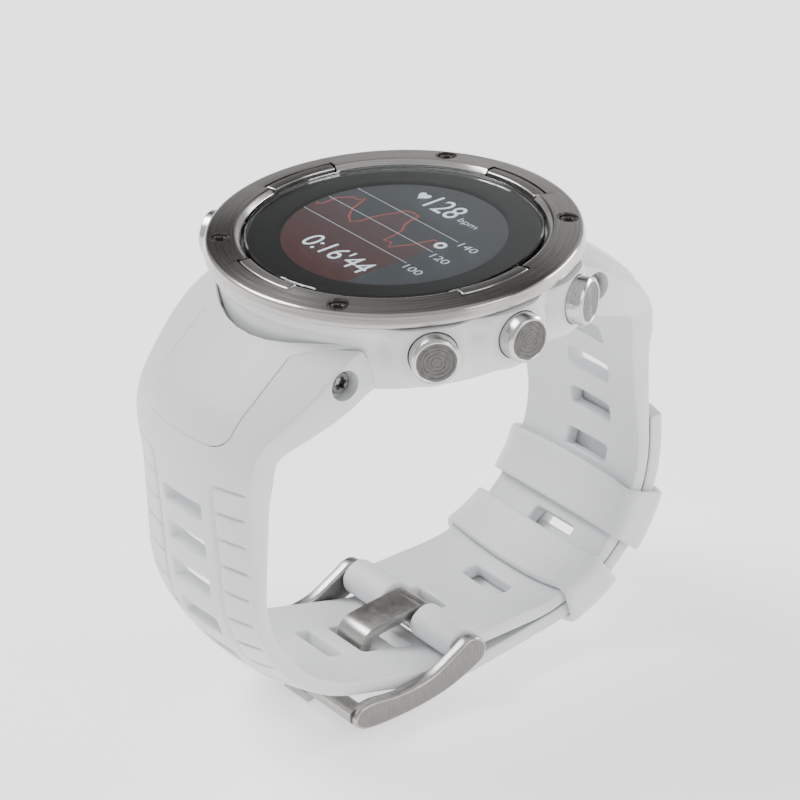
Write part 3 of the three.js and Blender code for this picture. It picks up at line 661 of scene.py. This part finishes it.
pulse = [
    (-13.2, -1.6), (-12.9, -2.0), (-12.4, -1.2), (-12.6, 0.8), (-11.2, 2.5), (-10.3, 2.3),
    (-10.0, 3.3), (-9.5, 2.2), (-8.9, 0.5), (-7.5, -1.2), (-6.1, -2.0), (-5.4, -0.9),
    (-5.4, 0.2), (-5.0, 2.0), (-4.3, 3.6), (-4.1, 4.8), (-2.8, 5.2), (-1.7, 5.1), (-1.4, 3.4),
    (-0.9, 2.2), (0.0, 1.2), (0.4, -0.4), (0.6, -2.1), (1.6, -1.7), (2.5, -2.8), (3.8, -0.3),
    (4.6, 2.5), (6.2, 2.1),
]
low_arc = [
    (panel_glow * math.cos(math.radians(a)), panel_glow * math.sin(math.radians(a)))
    for a in range(-63, -174, -3)
]
area = sheet_of("pulse_area", pulse + low_arc, 2)
red_glow, red_tree, red_shader = new_material("pulse_red_area", Roughness=0.12)
red_place = add_node(red_tree, "ShaderNodeTexCoord")
red_parts = add_node(red_tree, "ShaderNodeSeparateXYZ")
red_fade = add_node(red_tree, "ShaderNodeMapRange")
red_fade.inputs["From Min"].default_value = -0.0135
red_fade.inputs["From Max"].default_value = 0.005
red_tint = add_node(red_tree, "ShaderNodeValToRGB")
red_tint.color_ramp.elements[0].color = (0.075, 0.02, 0.019, 1)
red_tint.color_ramp.elements[1].color = (0.085, 0.06, 0.065, 1)
wire(
    red_tree, (red_place, "Object", red_parts, "Vector"), (red_parts, "Y", red_fade, "Value"),
    (red_fade, "Result", red_tint, "Fac"), (red_tint, "Color", red_shader, "Base Color"),
    (red_tint, "Color", red_shader, "Emission Color"),
)
red_shader.inputs["Emission Strength"].default_value = 0.4
settled(area, red_glow)

pulse_line = ribbon("pulse_line", pulse, 0.3, 3)
settled(pulse_line, glowing("pulse_red", (0.34, 0.08, 0.07), 0.6))
rules = joined([
    ribbon("ruled_lines", [(-12.9, 4.3), (7.0, 4.2)], 0.14, 4),
    ribbon("rule", [(-13.5, 0.3), (7.1, 0.3)], 0.14, 4),
    ribbon("rule", [(-13.1, -3.8), (7.3, -3.8)], 0.14, 4),
])
settled(rules, glowing("rule_grey", (0.42, 0.44, 0.46), 0.6))
small_figures = joined([
    figures("scale_figures", "140", (7.7, 3.5), 1.15, 2.9),
    figures("scale", "120", (7.7, -0.8), 1.15, 2.9),
    figures("scale", "100", (7.8, -4.9), 1.15, 2.9),
    figures("scale", "bpm", (2.3, 7.4), 1.35, 3.3),
])
settled(small_figures, glowing("figure_grey", (0.55, 0.62, 0.66), 0.7))
heart = []
for i in range(40):
    t = 2 * math.pi * i / 40
    lobes = 13 * math.cos(t) - 5 * math.cos(2 * t) - 2 * math.cos(3 * t) - math.cos(4 * t)
    heart.append((-5.75 + 0.058 * 16 * math.sin(t) ** 3, 9.0 + 0.062 * lobes))
marker = [
    (6.35 + 0.62 * math.cos(math.radians(15 * i)), 2.05 + 0.62 * math.sin(math.radians(15 * i)))
    for i in range(25)
]
large_figures = joined([
    figures("pulse_figures", "128", (-3.9, 7.2), 3.4, 5.3),
    figures("time_run", "0:16'44", (-5.9, -9.9), 3.2, 11.6),
    sheet_of("heart", heart[::-1], 4),
    ribbon("marker", marker, 0.42, 5),
])
settled(large_figures, glowing("figure_white", (0.72, 0.85, 0.90), 1.0))
for piece in (mask, lit, area, pulse_line, rules, small_figures, large_figures):
    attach(piece, "watch")


# ---------- buttons ----------
# Stainless caps turned in one piece with their stems. The face has fine rings from the lathe
# and a darker copy of the steel that is painted shade; the chamfer and the side keep the
# steel's own bright colour. All five are the same cap.

cap_face = 25.5
cap = turned("button_cap", [
    (0.8, -6.0), (0.85, -5.9), (0.85, -2.5), (2.7, -2.5), (2.86, -2.42), (2.92, -2.3),
    (2.92, -0.34), (2.9, -0.28), (2.66, -0.03), (2.6, 0.0), (2.5, 0.0), (2.42, -0.05),
    (2.1, -0.05), (2.06, -0.08), (2.02, -0.05), (1.62, -0.05), (1.58, -0.08), (1.54, -0.05),
    (1.14, -0.05), (1.1, -0.08), (1.06, -0.05), (0.66, -0.05), (0.62, -0.08), (0.58, -0.05),
    (0.2, -0.05), (0, -0.05),
], 96)
for index, angle in button_angles.items():
    button = cap.copy()
    button.data = cap.data.copy()
    button.name = f"button_{index}_cap"
    bpy.context.scene.collection.objects.link(button)
    heading = math.radians(angle)
    out = Vector((math.cos(heading), math.sin(heading), 0))
    spin = Matrix.Rotation(heading, 4, "Z") @ Matrix.Rotation(math.pi / 2, 4, "Y")
    button.data.transform(Matrix.Translation(out * cap_face + Vector((0, 0, button_z))) @ spin)
    centre = (out * cap_face / 1000 + Vector((0, 0, button_z / 1000)))[:]
    about = (0, math.pi / 2, heading)
    # The face takes a darker copy of the steel, which is painted shade; the second finish is the
    # steel's own colour.
    settled(button, brushed(
        f"button_face_painted_shade_{index}", (0.15, 0.145, 0.14), (0.075, 0.073, 0.07), (0.25, 0.4),
        centre, about, anisotropic=0.5,
    ), 25)
    button.data.materials.append(brushed(
        f"button_bright_{index}", (0.62, 0.61, 0.6), (0.46, 0.455, 0.45), (0.18, 0.3),
        centre, about, anisotropic=0.3,
    ))
    # Faces inside the face's radius get the painted-shade copy; the chamfer and the side get the
    # bright steel.
    for face in button.data.polygons:
        off_axis = Vector(face.center) * 1000 - out * cap_face - Vector((0, 0, button_z))
        reach = (off_axis - out * off_axis.dot(out)).length
        face.material_index = 1 if reach > 2.45 or off_axis.dot(out) < -0.5 else 0
    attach(button, f"button_{index}")
    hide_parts(f"button_{index}")
bpy.data.objects.remove(cap)


# ---------- straps ----------
# Silicone rubber, moulded in white with an arched section: wide cheeks at the lugs, a row of
# rounded slots down the middle and a ribbed grip along both edges of the outer face.

strap_side = 30.8
pin_y, pin_z = 0.2, -39.4
strap_half = 11.1
shoulder = (strap_side - 17.5, -2.4, 12, 5.7)
bend = (strap_side - 7, -4.15, 7, 3.5)
corner = (strap_side - 19.4, -21.0, 19.4, 1.9)
under_pin = (-pin_y, -32.0, 12, 1.9)
far_corner = (-corner[0], -21.0, 21.55, 1.9)
shoulder_start = math.radians(104)


def tangent_angle(one, two):
    across, rise = two[0] - one[0], two[1] - one[1]
    return math.atan2(rise, across) + math.acos((one[2] - two[2]) / math.hypot(across, rise))


def strap_run(circles, end_angle, tail):
    """The outer face in the (out, z) plane as rows of (out, z, normal out, normal z, thickness),
    drawn clockwise round the circles and then straight on to the tail's end."""
    rows, start = [], shoulder_start
    for i, (out, z, radius, thick) in enumerate(circles):
        end = tangent_angle(circles[i], circles[i + 1]) if i + 1 < len(circles) else end_angle
        while end > start:
            end -= 2 * math.pi
        steps = max(2, int((start - end) / 0.02))
        for k in range(steps + 1):
            a = start + (end - start) * k / steps
            face = math.cos(a), math.sin(a)
            rows.append((out + radius * face[0], z + radius * face[1], *face, thick))
        start = end
    rows.append((*tail, *rows[-1][2:]))
    lengths = [0.0]
    for one, two in zip(rows, rows[1:]):
        lengths.append(lengths[-1] + math.hypot(two[0] - one[0], two[1] - one[1]))
    return rows, lengths


def on_run(run, distance):
    rows, lengths = run
    low, high = 0, len(lengths) - 1
    distance = min(max(distance, 0), lengths[-1])
    while high - low > 1:
        middle = (low + high) // 2
        if lengths[middle] <= distance:
            low = middle
        else:
            high = middle
    share = (distance - lengths[low]) / max(lengths[high] - lengths[low], 1e-9)
    return [a + (b - a) * share for a, b in zip(rows[low], rows[high])]


def first_distance(run, test):
    distance = 0
    while not test(*on_run(run, distance)[:2]):
        distance += 0.05
    return distance


buckle_run = strap_run([shoulder, bend, corner], -math.pi / 2, (pin_y, -40.4))
hole_run = strap_run(
    [shoulder, bend, corner, under_pin, far_corner], -math.pi, (-32.95, -18.2)
)


def strap_width(out, z):
    """Half the strap's width where its outer face passes this place."""
    if out > 0 and z > -11.5:
        if z > -3.9:
            return 15 - 2.75 * ramp(out, 18.0, 31.2) - 0.3 * ramp(z, 3, -4)
        return 11.95 - 0.85 * ramp(z, -3.9, -9.5)
    return strap_half


def arch(out, z, tail_side):
    """How far the middle of the strap stands above its edges."""
    upper = 2.35 - 0.75 * ramp(z, -6, -22)
    if not tail_side:
        return upper * ramp(out, 1.5, 9.5) if z < -21 else upper
    if z > -21 and out > 0:
        return upper
    return 1.6 * (ramp(out, 15, 25) if out > 0 else ramp(-out, 1.5, 9.5))


eye_radius, eye_end = 2.4, 2.32
hemmed = 26


def laid(piece, run, side, tail_side, stretched=True, wall_radius=21.75):
    """Moves flat points (across, along, -depth) onto the strap. Depth 0 is the outer face, 1 the
    wrist face, and less than 0.9 is in mm. The start of the strap follows the case wall, and a
    stretched piece is drawn out to the strap's own width."""
    pin_at = run[1][-1]
    for vertex in piece.data.vertices:
        share, along, depth = vertex.co.x / strap_half, vertex.co.y, -vertex.co.z
        out, z, *_ = on_run(run, along)
        width = strap_width(out, z) if along < 60 else strap_half
        across = share * width
        if not stretched:
            across = vertex.co.x
            share = across / width
        if along < hemmed:
            wall = math.sqrt(max(wall_radius ** 2 - across ** 2, 0))
            begin = 12 * (shoulder_start - math.acos(min((wall - shoulder[0]) / 12, 1)))
            along = begin + along * (hemmed - begin) / hemmed
        past = along - pin_at
        out, z, normal_out, normal_z, thick = on_run(run, along)
        rise = arch(out, z, tail_side) * (1 - min(abs(share), 1) ** 2.3)
        if depth < 0.9:
            height = rise - depth
        else:
            full = ramp(z, -2, -14) if z > -21 else 1
            height = rise * full - thick - (depth - 1)
        if not tail_side and abs(past) < eye_radius:
            half = math.sqrt(eye_radius ** 2 - past ** 2)
            low = min(-1 - half, -thick) if past < 0 else -1 - half
            high = max(half - 1, 0) if past < 0 else half - 1
            height = low if depth > 0.9 else high
            out -= max(past, 0)
        vertex.co = (across, side * (out + normal_out * height), z + normal_z * height)


def gridded(name, columns, rows):
    """A flat sheet whose lines stand at the given places across and along."""
    deselect()
    bpy.ops.mesh.primitive_grid_add(
        x_subdivisions=len(columns) - 1, y_subdivisions=len(rows) - 1, size=2
    )
    sheet = bpy.context.object
    sheet.name = name
    for vertex in sheet.data.vertices:
        column = round((vertex.co.x + 1) / 2 * (len(columns) - 1))
        row = round((vertex.co.y + 1) / 2 * (len(rows) - 1))
        vertex.co = (columns[column], rows[row], 0)
    return sheet


def select_faces(piece, test):
    start_edit(piece)
    bpy.ops.mesh.select_mode(type="FACE")
    bpy.ops.mesh.select_all(action="DESELECT")
    bpy.ops.object.mode_set(mode="OBJECT")
    for face in piece.data.polygons:
        face.select = test(face.center, face.normal)
    bpy.ops.object.mode_set(mode="EDIT")


slot_half, slot_width, soft = 3.6, 2.3, 0.42
notch_half = 2.85
columns = [-11.1, -10.75, -10.35, -8.1, -6.0, -5.6, -4.1, -3.6, -2.85, -1.4]
columns = columns + [0] + [-x for x in reversed(columns)]
rib_columns = (5.6, 6.0, 10.35)
rib_groove, rib_reach, rib_depth = 0.2, 0.25, 0.42


def strap(name, length, slots, ribs, notch=None):
    """The flat strap: slots cut through, thickness drawn out, ribs pressed into the outer face."""
    rows = [0.0, 0.5, length - 0.4, length]
    half = slot_width / 2
    for place in slots:
        rows += [place - half - soft, place - half, place, place + half, place + half + soft]
    for place in ribs:
        rows += [place - 0.6, place - rib_groove, place + rib_groove, place + 0.6]
    if notch:
        rows += [notch - soft, notch, notch + soft]
        rows += [length - eye_end + d for d in (-2.4, -2.0, -1.4, -0.7, 0.0, 0.7, 1.3, 1.8, 2.15)]
    must = sorted(set(round(r, 3) for r in rows if 0 <= r <= length))
    even = [2.0 * i for i in range(1, int(length / 2))]
    rows = sorted(must + [r for r in even if min(abs(r - m) for m in must) > 0.9])
    piece = gridded(name, columns, rows)
    for vertex in piece.data.vertices:
        for place in slots:
            if abs(vertex.co.x) == slot_half and abs(abs(vertex.co.y - place) - half) < 0.01:
                vertex.co.x *= 0.92
                vertex.co.y = place + (vertex.co.y - place) * 0.8
    select_faces(piece, lambda centre, normal: (
        any(abs(centre.y - place) < half and abs(centre.x) < slot_half for place in slots)
        or (notch is not None and centre.y > notch and abs(centre.x) < notch_half)
    ))
    bpy.ops.mesh.delete(type="FACE")
    bpy.ops.mesh.select_all(action="SELECT")
    bpy.ops.mesh.extrude_region_move(TRANSFORM_OT_translate={"value": (0, 0, -1)})
    end_edit()
    first, last = min(ribs), max(ribs)
    select_faces(piece, lambda centre, normal: (
        centre.z > -0.1 and normal.z > 0.5 and first - rib_reach < centre.y < last + rib_reach
        and (
            rib_columns[0] < abs(centre.x) < rib_columns[1]
            or (
                rib_columns[0] < abs(centre.x) < rib_columns[2]
                and any(abs(centre.y - place) < rib_reach for place in ribs)
            )
        )
    ))
    bpy.ops.mesh.extrude_region_move(TRANSFORM_OT_translate={"value": (0, 0, -rib_depth)})
    end_edit()
    return piece


white_rubber = grained(
    "white_rubber", (0.70, 0.71, 0.722), (0.67, 0.68, 0.692), 5200, rough=(0.5, 0.6), bump=0.008,
    Sheen_Weight=0.08, Sheen_Roughness=0.5,
)
hole_pitch, vent_pitch, rib_pitch = 5.35, 5.9, 3.65

tongue_slot = first_distance(hole_run, lambda out, z: z < -21 and out < 9.4)
hole_slots = [tongue_slot + hole_pitch * i for i in range(-8, 9)]
rib_start = first_distance(hole_run, lambda out, z: out > 28 and z < -6.2)
rib_places = [rib_start + rib_pitch * i for i in range(9)]
hole_length = hole_run[1][-1]
hole_strap = strap("hole_strap", hole_length, hole_slots, rib_places)
laid(hole_strap, hole_run, -1, True)
start_edit(hole_strap)
end_edit()
subdivided(hole_strap, 2)

buckle_slots = [
    first_distance(buckle_run, lambda out, z: z < -21) - 0.5 + vent_pitch * i for i in range(-2, 6)
]
buckle_length = buckle_run[1][-1] + eye_end
buckle_strap = strap(
    "buckle_strap", buckle_length, buckle_slots, rib_places, buckle_length - 6.1
)
laid(buckle_strap, buckle_run, 1, False)
start_edit(buckle_strap)
end_edit()
subdivided(buckle_strap, 2)

plate_tip = first_distance(hole_run, lambda out, z: out > 28 and z < -0.65)


def plate_width(along, clearance):
    """Half the lug plate's width: rounded corners at the tip, flared where it meets the case."""
    from_tip = plate_tip + clearance - along
    half = 8.1 + 0.3 * ramp(along, plate_tip, 12) + 5.9 * ramp(along, 3.2, -0.4) + clearance
    if from_tip < 3:
        half += math.sqrt(max(9 - (3 - from_tip) ** 2, 0)) - 3
    return half


def lug_plate(name, clearance, top, bottom):
    """A plate that lies on the shoulder of the strap, from the case wall to its rounded tip."""
    end = plate_tip + clearance
    rows = [0.0, 0.3, 0.7, 1.1, 1.5, 2.0, 2.6, 3.2, 4.0] + [5.0 + 1.2 * i for i in range(40)]
    rows = [row for row in rows if row < end - 3.2]
    rows += [end - d for d in (3.0, 2.4, 1.8, 1.25, 0.8, 0.45, 0.2, 0.05, 0.0)]
    lines = [-1, -0.97, -0.85] + [-0.7 + 0.2 * i for i in range(8)] + [0.85, 0.97, 1]
    plate = gridded(name, lines, rows)
    for vertex in plate.data.vertices:
        vertex.co.x *= plate_width(vertex.co.y, clearance)
        vertex.co.z = top
    start_edit(plate)
    bpy.ops.mesh.extrude_region_move(TRANSFORM_OT_translate={"value": (0, 0, bottom - top)})
    end_edit()
    return plate


for piece, run, side, tail_side in (
    (hole_strap, hole_run, -1, True), (buckle_strap, buckle_run, 1, False),
):
    pocket = lug_plate("pocket", 0.13, 4.0, -0.85)
    laid(pocket, run, side, tail_side, False, 21.2)
    start_edit(pocket)
    end_edit()
    cut(piece, pocket)
    wells = [
        cylinder(1.9, 4, (end * 15.2, side * 18.99, 5.77), (0, math.pi / 2, 0)) for end in (1, -1)
    ]
    cut(piece, joined(wells))
    plate = lug_plate("lug_plate_6" if side < 0 else "lug_plate_12", 0, 0.02, -0.75)
    laid(plate, run, side, tail_side, False, 21.3)
    start_edit(plate)
    end_edit()
    bevelled(plate, 0.14, 2, 50)
    settled(plate, white_polymer, 35)
    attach(plate, "watch")

for piece, node in ((hole_strap, "strap_6"), (buckle_strap, "strap_12")):
    settled(piece, white_rubber, 45)
    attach(piece, "watch")
    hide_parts(node)


# ---------- keepers ----------
# Two loops of the same rubber, arched like the straps, that hold the tail down. Each is one
# moulded hoop that slides along the strap.

def hoop_outline(half_width, half_height, radius):
    """A rounded rectangle, anticlockwise, with extra points along its two long sides."""
    points = []
    for quarter, (sign_x, sign_y) in enumerate(((1, 1), (-1, 1), (-1, -1), (1, -1))):
        for step in range(7):
            a = math.radians(90 * quarter + 15 * step)
            points.append((
                sign_x * (half_width - radius) + radius * math.cos(a),
                sign_y * (half_height - radius) + radius * math.sin(a),
            ))
        if quarter in (0, 2):
            span = half_width - radius
            for step in range(1, 14):
                points.append((sign_x * span * (1 - step / 7), sign_y * half_height))
    return points


keeper_arch, keeper_middle = 1.6, 19.525
keeper_angles = {"keeper_1": -64.5, "keeper_2": -32.0}
keeper_half = math.degrees(3.6 / 19.4) - 0.05
for node, middle in keeper_angles.items():
    outline = hoop_outline(11.4, 2.325, 0.9)
    deselect()
    bpy.ops.mesh.primitive_circle_add(vertices=len(outline), radius=1)
    keeper = bpy.context.object
    keeper.name = node + "_hoop"
    start = math.radians(middle + keeper_half)
    for vertex, (across, height) in zip(keeper.data.vertices, outline):
        reach = keeper_middle + height + keeper_arch * (1 - min(abs(across) / strap_half, 1) ** 2.3)
        vertex.co = (across, corner[0] + reach * math.cos(start), -21 + reach * math.sin(start))
    start_edit(keeper)
    bpy.ops.mesh.spin(
        steps=10, angle=math.radians(2 * keeper_half), center=(0, corner[0], -21), axis=(1, 0, 0)
    )
    end_edit()
    wall = keeper.modifiers.new("wall", "SOLIDIFY")
    wall.thickness = 1.1
    wall.offset = 1
    apply_all(keeper)
    bevelled(keeper, 0.4, 3, 55)
    settled(keeper, white_rubber, 45)
    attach(keeper, node)
    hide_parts(node)


# ---------- buckle ----------
# Stainless steel: two bowed side arms joined by a bar at the far end, brushed on the flats and
# polished on the edges, and turning on a pin through the eye of the strap. The flats also take
# a darker copy of the steel, which is painted shade.

buckle_steel = grained(
    "buckle_steel", (0.47, 0.455, 0.44), (0.33, 0.32, 0.31), 2600, (0.35, 0.35, 5),
    rough=(0.24, 0.36), bump=0.004, Metallic=1.0,
)
# Brushed grain on the flats of the arms, with a darker base colour that is painted shade.
buckle_flat_painted_shade = grained(
    "buckle_brushed_flat_painted_shade", (0.26, 0.25, 0.245), (0.16, 0.155, 0.15), 3200, (1, 6, 0.25),
    rough=(0.34, 0.48), bump=0.008, Metallic=1.0,
)


def smooth_outline(points, steps, closed=True):
    """Points along the soft curve that passes through the given ones."""
    curve, count = [], len(points)
    for i in range(count if closed else count - 1):
        if closed:
            p = [Vector(points[(i + k) % count]) for k in (-1, 0, 1, 2)]
        else:
            p = [Vector(points[min(max(i + k, 0), count - 1)]) for k in (-1, 0, 1, 2)]
        for step in range(steps):
            t = step / steps
            curve.append(0.5 * (
                2 * p[1] + (p[2] - p[0]) * t + (2 * p[0] - 5 * p[1] + 4 * p[2] - p[3]) * t * t
                + (3 * p[1] - p[0] - 3 * p[2] + p[3]) * t ** 3
            ))
    if not closed:
        curve.append(Vector(points[-1]))
    return curve


def slab(name, outline, low, high):
    """A plate standing along X from its outline in (y, z): a face drawn out to its thickness."""
    deselect()
    bpy.ops.mesh.primitive_circle_add(vertices=len(outline), radius=1, fill_type="NGON")
    plate = bpy.context.object
    plate.name = name
    for vertex, (y, z) in zip(plate.data.vertices, outline):
        vertex.co = (low, y, z)
    start_edit(plate)
    bpy.ops.mesh.extrude_region_move(TRANSFORM_OT_translate={"value": (high - low, 0, 0)})
    end_edit()
    return plate


arm_outline = smooth_outline([
    (-18.4, -42.2), (-17.6, -40.7), (-15.3, -40.3), (-11.5, -40.8), (-6.8, -40.5), (-2.8, -38.7),
    (-0.6, -37.55), (1.0, -37.7), (2.1, -38.9), (2.0, -40.4), (0.8, -41.5), (-3.8, -43.2),
    (-8.5, -43.9), (-13.2, -44.0), (-17.0, -43.6),
], 6)
arms = [slab("buckle_arm", arm_outline, 11.42, 13), slab("arm", arm_outline, -13, -11.42)]
buckle_arms = joined(arms)
buckle_arms.name = "buckle_arms"
bevelled(buckle_arms, 0.32, 3, 50)
bar_lift, bar_half_width, bar_half_height, bar_squareness = 2.15, 1.25, 0.98, 0.55
far_at = on_run(hole_run, first_distance(hole_run, lambda out, z: z < -21 and out < 16.8))
bar_y, bar_z = -(far_at[0] + bar_lift * far_at[2]), far_at[1] + bar_lift * far_at[3]
far_bar = slab("far_bar", [
    (bar_y + bar_half_width * math.copysign(abs(math.cos(a)) ** bar_squareness, math.cos(a)),
     bar_z + bar_half_height * math.copysign(abs(math.sin(a)) ** bar_squareness, math.sin(a)))
    for a in [math.radians(7.5 * i + 1) for i in range(48)]
], -12.2, 12.2)
buckle = joined([buckle_arms, far_bar])
settled(buckle, buckle_steel, 40)
# Faces turned straight along X, the flats of the arms, take the painted-shade copy of the steel.
buckle.data.materials.append(buckle_flat_painted_shade)
for face in buckle.data.polygons:
    face.material_index = 1 if abs(face.normal.x) > 0.98 else 0
buckle_pin = cylinder(0.8, 22.0, (0, pin_y, pin_z), (0, math.pi / 2, 0), 40)
buckle_pin.name = "pin"
bevelled(buckle_pin, 0.15, 2, 50)
settled(buckle_pin, buckle_steel, 40)
for piece, node in ((buckle, "buckle_frame"), (buckle_pin, "buckle_pin")):
    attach(piece, "buckle")
    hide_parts(node)


# ---------- tongue ----------
# A thick strip of the same steel, rolled round the pin at one end and bent down through a slot
# of the hole strap, with its tip under the far bar.

spine = smooth_outline([
    (pin_y + 0.6, pin_z + 1.3), (pin_y - 2.6, pin_z + 1.2), (-6.4, -38.5), (-8.2, -38.95),
    (-9.05, -40.7), (-9.8, -42.45), (-12.0, -43.15), (-15.2, -43.42), (-18.1, -43.65),
], 6, closed=False)
tongue_half = 0.68
upper_side, lower_side = [], []
for i, point in enumerate(spine):
    along = (spine[min(i + 1, len(spine) - 1)] - spine[max(i - 1, 0)]).normalized()
    upper_side.append((point.x - along.y * tongue_half, point.y + along.x * tongue_half))
    lower_side.append((point.x + along.y * tongue_half, point.y - along.x * tongue_half))
strip = slab("tongue", upper_side + lower_side[::-1], -2.5, 2.5)
roll = slab("roll", [
    (pin_y + 2.0 * math.cos(math.radians(9 * i)), pin_z + 2.0 * math.sin(math.radians(9 * i)))
    for i in range(40)
], -2.5, 2.5)
cut(strip, roll, "UNION")
cut(strip, cylinder(1.02, 8, (0, pin_y, pin_z), (0, math.pi / 2, 0), 40))
bevelled(strip, 0.3, 3, 50)
settled(strip, buckle_steel, 40)
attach(strip, "tongue")
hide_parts("buckle_tongue")


# ---------- back ----------
# A moulded cover under the case with a raised dome for the pulse sensor. Its window is black
# glass over the sensor, and four gold pins for the charger stand in a row beside it.

cover = turned("cover_shell", [
    (8.2, 2.05), (8.2, 0.4), (8.35, 0.27), (8.7, 0.25), (10.2, 0.25), (10.6, 0.3), (12.8, 1.3),
    (13.3, 1.42), (16.2, 1.78), (16.5, 1.95), (16.6, 2.2), (16.6, 2.98), (7.1, 2.98),
    (7.1, 2.05), (8.2, 2.05),
], 144)
contacts = [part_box(f"charge_contact_{i}") for i in range(1, 5)]
contact_places = [((low[0] + high[0]) * 500, (low[1] + high[1]) * 500) for low, high in contacts]
contact_radius = (contacts[0][1][0] - contacts[0][0][0]) * 500
contact_foot, contact_top = contacts[0][0][2] * 1000, contacts[0][1][2] * 1000
wells = [cylinder(contact_radius + 0.25, 8, (x, y, 2), steps=32) for x, y in contact_places]
for index in range(1, 5):
    low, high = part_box(f"back_screw_{index}")
    place = ((low[0] + high[0]) * 500, (low[1] + high[1]) * 500, low[2] * 1000 - 1)
    wells.append(cylinder((high[0] - low[0]) * 500 + 0.2, 3.6, place, steps=32))
cut(cover, joined(wells))
bevelled(cover, 0.06, 2, 50)
settled(cover, white_polymer, 30)
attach(cover, "watch")
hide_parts("back_cover")

sensor_glass = grained(
    "sensor_glass", (0.012, 0.012, 0.014), (0.006, 0.006, 0.008), 900, rough=(0.03, 0.06),
    bump=0.0, Coat_Weight=0.6, Coat_Roughness=0.03,
)
window = turned("window_dome", [
    (7.95, 1.45), (8.0, 1.4), (8.0, 0.42), (7.9, 0.3), (7.7, 0.22), (6.0, 0.1), (4.0, 0.03),
    (2.0, 0.005), (0, 0.0),
], 128)
settled(window, sensor_glass, 20)
lamp_lens = grained(
    "sensor_lens", (0.10, 0.13, 0.10), (0.05, 0.07, 0.06), 2500, rough=(0.1, 0.2), bump=0.0
)
lenses = []
for across, along, half_width, half_height in (
    (0, 0, 1.3, 1.3), (-3.6, 0, 0.8, 1.4), (3.6, 0, 0.8, 1.4),
):
    deselect()
    bpy.ops.mesh.primitive_grid_add(x_subdivisions=6, y_subdivisions=6, size=2)
    lens_cell = bpy.context.object
    for vertex in lens_cell.data.vertices:
        x, y = across + half_width * vertex.co.x, along + half_height * vertex.co.y
        dome = 0.22 * (math.hypot(x, y) / 7.7) ** 2
        vertex.co = (x, y, dome + 0.008)
    start_edit(lens_cell)
    bpy.ops.mesh.extrude_region_move(TRANSFORM_OT_translate={"value": (0, 0, 0.3)})
    end_edit()
    lenses.append(lens_cell)
lenses = joined(lenses)
lenses.name = "sensor_lenses"
settled(lenses, lamp_lens, 20)
for piece in (window, lenses):
    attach(piece, "watch")
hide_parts("sensor_window")

gold_plate = grained(
    "gold_plate", (0.83, 0.62, 0.26), (0.72, 0.52, 0.2), 8000, rough=(0.2, 0.32), bump=0.002,
    Metallic=1.0,
)
for index, (x, y) in enumerate(contact_places, 1):
    contact = cylinder(
        contact_radius, contact_top - contact_foot, (x, y, (contact_top + contact_foot) / 2),
        steps=40,
    )
    contact.name = f"contact_{index}"
    bevelled(contact, 0.15, 3, 50)
    settled(contact, gold_plate, 40)
    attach(contact, "watch")
    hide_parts(f"charge_contact_{index}")


# ---------- works inside the case ----------
# Board, battery, aerial, motor, switches and bushes keep their shapes. Each gets the finish of
# the stuff it is made of: lacquered laminate, wrapped cell, plated steel, moulded nylon.

inner_finishes = {
    "black_nylon": grained(
        "black_nylon", (0.035, 0.035, 0.036), (0.02, 0.02, 0.021), 5000, rough=(0.5, 0.62),
        bump=0.01,
    ),
    "green_laminate": grained(
        "green_laminate", (0.03, 0.17, 0.07), (0.015, 0.10, 0.04), 1400, (1, 6, 1),
        rough=(0.3, 0.45), bump=0.01,
    ),
    "cell_wrap": grained(
        "cell_wrap", (0.52, 0.53, 0.54), (0.42, 0.43, 0.44), 1800, rough=(0.3, 0.45),
        bump=0.006, Metallic=0.9,
    ),
    "gold_plate": gold_plate,
    "brass": grained(
        "turned_brass", (0.70, 0.52, 0.25), (0.56, 0.4, 0.18), 5000, (1, 1, 4),
        rough=(0.25, 0.38), bump=0.004, Metallic=1.0,
    ),
}
inner_nodes = {
    "display_frame": "black_nylon", "main_board": "green_laminate", "gps_antenna": "gold_plate",
    "battery": "cell_wrap", "vibration_motor": "cell_wrap", "sensor_board": "green_laminate",
}
inner_nodes.update({f"lug_insert_{i}": "brass" for i in range(1, 5)})
inner_nodes.update({f"button_switch_{i}": "black_nylon" for i in button_angles})
for node, finish in inner_nodes.items():
    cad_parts[node].data.materials.clear()
    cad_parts[node].data.materials.append(inner_finishes[finish])
